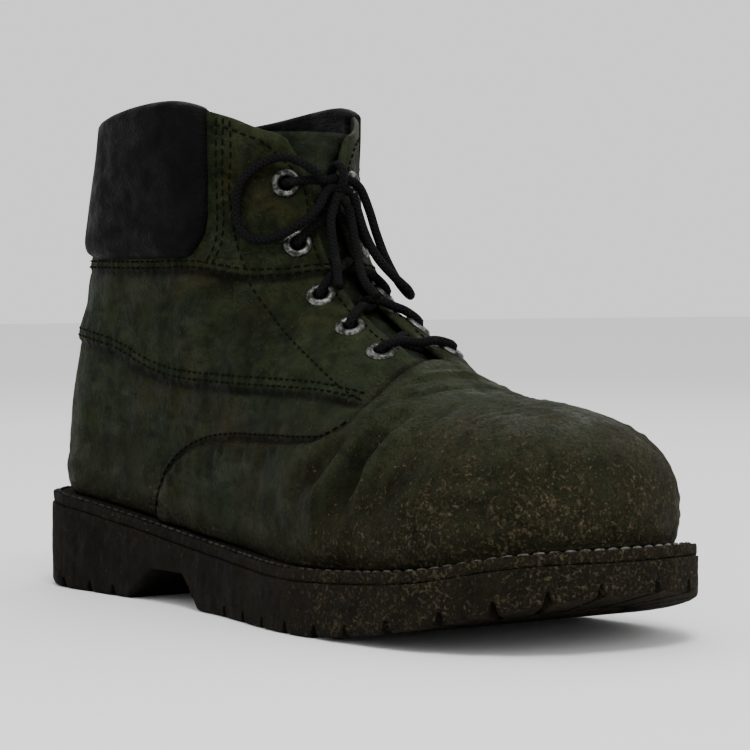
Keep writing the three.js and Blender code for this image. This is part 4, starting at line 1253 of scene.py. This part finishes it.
def seam_rows(guides, side, offsets, pitch=3.3, start=0.0, end=1.0):
    """Stitch places along a seam on one side, in rows at the given distances above it."""
    line = on_skin(f"row {guides[0]}", guides, side)
    for offset in offsets:
        points, normals = skin(line, rounds=4)
        ahead = unit(np.gradient(points, axis=0))
        aside = np.cross(normals, ahead) * -side
        row, _ = skin(points + aside * offset, rounds=5)
        row = row[int(start * len(row)) : int(math.ceil(end * len(row)))]
        length = np.linalg.norm(np.diff(row, axis=0), axis=1).sum()
        even = resample(row, max(3, int(length / pitch)))
        even, out = skin(even, rounds=3)
        height, _ = relief(even, out, side)
        ahead = unit(np.gradient(even, axis=0))
        yield from zip(even + out * (height + 0.12)[:, None], ahead, out)


def edge_line():
    """Guide points of the stitching just inside the topline and then the throat."""
    angle = np.linspace(PAD_FRONT + 0.09, math.pi - 0.5, 5)
    x = COLLAR_CENTRE - COLLAR_HALF * np.cos(angle)
    topline = list(zip(x, 41 * np.sin(angle), collar_line(x) - 3))
    throat = [(x - 0.5, float(throat_half(z)) + 2.8, z) for x, z in INSTEP[1:-1]]
    return [*topline, (-14, 17, 160.5), *throat]


def make_upper_stitching():
    """The thread of every seam on the upper."""
    rows = [
        (COLLAR_SEAM, (0.8, 3.1), 0.0, 1.0),
        (QUARTER_SEAM, (2.0, 4.6), 0.0, 1.0),
        (WING_SEAM, (-2.6,), 0.26, 1.0),
        (PAD_SIDE, (0.0, 2.6), 0.0, 1.0),
        (FRONT_LINE, (0.0,), 0.0, 1.0),
        (FACING_LINE, (0.0,), 0.0, 1.0),
        (edge_line(), (0.0,), 0.0, 1.0),
    ]
    bm = bmesh.new()
    for side in SIDES.values():
        for guides, offsets, start, end in rows:
            for centre, way, out in seam_rows(guides, side, offsets, start=start, end=end):
                stitch(bm, centre, way, out, 2.5, 0.42)
    finish_piece(bm, "upper_stitching", [dark_thread()], out=False)


def make_welt_stitching():
    """The pale thread that holds the welt."""
    x, y = plan_points(np.linspace(0, 1, 500), -1, 2.7)
    x2, y2 = plan_points(np.linspace(0, 1, 500), 1, 2.7)
    x, y = np.concatenate([x, x2[-2::-1]]), np.concatenate([y, y2[-2::-1]])
    loop = np.stack([x, y, welt_top(x) - 0.05], axis=1)
    spots = resample(loop, int(np.linalg.norm(np.diff(loop, axis=0), axis=1).sum() / 4.9))
    ahead = unit(np.gradient(spots, axis=0))
    bm = bmesh.new()
    for centre, way in zip(spots[:-1], ahead):
        out = unit(np.cross(np.cross(way, (0, 0, 1)), way))
        stitch(bm, centre, way, out, 4.1, 0.6)
    finish_piece(bm, "welt_stitching", [pale_thread()], out=False)


# ------------------------------------------------------------------ stage
CAMERA = {"azimuth": 54.0, "elevation": 2.0, "distance": 1025.0, "focus": (0, 0, 80)}


def make_stage():
    """The floor, the soft lights and the camera."""
    bm = bmesh.new()
    bmesh.ops.create_grid(bm, x_segments=1, y_segments=1, size=6)
    mesh = bpy.data.meshes.new("floor")
    bm.to_mesh(mesh)
    bm.free()
    floor = bpy.data.objects.new("floor", mesh)
    bpy.context.scene.collection.objects.link(floor)
    look = Look("pale_floor", roughness=0.9, specular=0.1)
    tone = look.blend(look.noise(400, 2), (0.8, 0.8, 0.8), (0.83, 0.83, 0.83))
    mesh.materials.append(look.finish(tone))
    floor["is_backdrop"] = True
    world = bpy.data.worlds.new("studio")
    world.use_nodes = True
    world.node_tree.nodes["Background"].inputs[0].default_value = (1, 1, 1, 1)
    world.node_tree.nodes["Background"].inputs[1].default_value = 1.15
    bpy.context.scene.world = world
    lamps = [
        ("key_light", (0.9, -0.5, 1.7), 26.0, 0.6),
        ("toe_light", (1.6, 0.3, 0.9), 6.0, 0.8),
        ("back_light", (-0.9, 0.9, 1.3), 6.0, 0.9),
    ]
    for name, place, power, size in lamps:
        light = bpy.data.lights.new(name, "AREA")
        light.energy, light.size = power, size
        lamp = bpy.data.objects.new(name, light)
        lamp.location = place
        lamp.rotation_mode = "QUATERNION"
        lamp.rotation_quaternion = (Vector((0, 0, 0.07)) - lamp.location).to_track_quat("-Z", "Y")
        bpy.context.scene.collection.objects.link(lamp)
    a, e = math.radians(CAMERA["azimuth"]), math.radians(CAMERA["elevation"])
    back = Vector((math.sin(a) * math.cos(e), -math.cos(a) * math.cos(e), math.sin(e)))
    right = Vector((math.cos(a), math.sin(a), 0))
    camera = bpy.data.objects.new("camera", bpy.data.cameras.new("camera"))
    camera.location = (Vector(CAMERA["focus"]) + back * CAMERA["distance"]) * MM
    camera.rotation_mode = "QUATERNION"
    aim = -back + right * 0.01237 + back.cross(right) * 0.00255
    camera.rotation_quaternion = aim.to_track_quat("-Z", "Y")
    camera.data.lens = 140
    camera.data.clip_start, camera.data.clip_end = 0.05, 50
    bpy.context.scene.collection.objects.link(camera)
    bpy.context.scene.camera = camera


# ------------------------------------------------------------------ add-on
class BootFinish(bpy.types.PropertyGroup):
    """Colours that a user would change."""

    leather: FloatVectorProperty(
        name="Leather", description="Oiled leather's colour", subtype="COLOR",
        default=(0.0066, 0.0092, 0.0037), min=0, max=1,
    )
    pad: FloatVectorProperty(
        name="Pad", description="Collar pad's colour", subtype="COLOR",
        default=(0.0017, 0.0017, 0.0018), min=0, max=1,
    )
    rubber: FloatVectorProperty(
        name="Rubber", description="Sole's colour", subtype="COLOR",
        default=(0.0047, 0.0045, 0.0038), min=0, max=1,
    )
    mud: FloatVectorProperty(
        name="Mud", description="Dried mud's colour", subtype="COLOR",
        default=(0.046, 0.037, 0.021), min=0, max=1,
    )
    lace: FloatVectorProperty(
        name="Lace", description="Lace's colour", subtype="COLOR",
        default=(0.0045, 0.0044, 0.0046), min=0, max=1,
    )
    steel: FloatVectorProperty(
        name="Eyelets", description="Bare metal's colour", subtype="COLOR",
        default=(0.2, 0.2, 0.19), min=0, max=1,
    )


class BOOT_OT_stage(bpy.types.Operator):
    """Adds the floor, the lights and the camera"""

    bl_idname = "boot.stage"
    bl_label = "Stage"

    def execute(self, context):
        make_stage()
        return {"FINISHED"}


class BOOT_OT_lace(bpy.types.Operator):
    """Adds the lace through its eyelets, with its bow"""

    bl_idname = "boot.lace"
    bl_label = "Lace"

    def execute(self, context):
        make_lace()
        return {"FINISHED"}


class BOOT_OT_upper(bpy.types.Operator):
    """Adds the leather upper"""

    bl_idname = "boot.upper"
    bl_label = "Upper"

    def execute(self, context):
        make_upper()
        return {"FINISHED"}


class BOOT_OT_collar(bpy.types.Operator):
    """Adds the padded collar"""

    bl_idname = "boot.collar"
    bl_label = "Collar Pad"

    def execute(self, context):
        make_collar_pad()
        return {"FINISHED"}


class BOOT_OT_tongue(bpy.types.Operator):
    """Adds the tongue"""

    bl_idname = "boot.tongue"
    bl_label = "Tongue"

    def execute(self, context):
        make_tongue()
        return {"FINISHED"}


class BOOT_OT_sole(bpy.types.Operator):
    """Adds the outsole, the welt and the insole"""

    bl_idname = "boot.sole"
    bl_label = "Sole"

    def execute(self, context):
        make_outsole()
        make_welt()
        make_insole()
        return {"FINISHED"}


class BOOT_OT_eyelets(bpy.types.Operator):
    """Adds the steel eyelets"""

    bl_idname = "boot.eyelets"
    bl_label = "Eyelets"

    def execute(self, context):
        make_eyelets()
        return {"FINISHED"}


class BOOT_OT_stitching(bpy.types.Operator):
    """Adds the thread of the seams and of the welt"""

    bl_idname = "boot.stitching"
    bl_label = "Stitching"

    def execute(self, context):
        make_upper_stitching()
        make_welt_stitching()
        return {"FINISHED"}


OPERATORS = [
    BOOT_OT_stage,
    BOOT_OT_lace,
    BOOT_OT_upper,
    BOOT_OT_collar,
    BOOT_OT_tongue,
    BOOT_OT_sole,
    BOOT_OT_eyelets,
    BOOT_OT_stitching,
]


class BOOT_PT_pieces(bpy.types.Panel):
    """Lists the boot's pieces and colours in the sidebar."""

    bl_label = "Work Boot"
    bl_space_type = "VIEW_3D"
    bl_region_type = "UI"
    bl_category = "Boot"

    def draw(self, context):
        for name in BootFinish.__annotations__:
            self.layout.prop(context.scene.boot_finish, name)
        for operator in OPERATORS:
            self.layout.operator(operator.bl_idname)


CLASSES = [BootFinish, *OPERATORS, BOOT_PT_pieces]


def register():
    for cls in CLASSES:
        bpy.utils.register_class(cls)
    bpy.types.Scene.boot_finish = PointerProperty(type=BootFinish)


def unregister():
    del bpy.types.Scene.boot_finish
    for cls in reversed(CLASSES):
        bpy.utils.unregister_class(cls)


def main():
    register()
    for operator in OPERATORS:
        getattr(bpy.ops.boot, operator.bl_idname.split(".")[1])()
    boxes = {"cad": CAD_BOX, "visual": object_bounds()}
    {name: [list(corner) for corner in box] for name, box in boxes.items()}


if __name__ == "__main__":
    main()
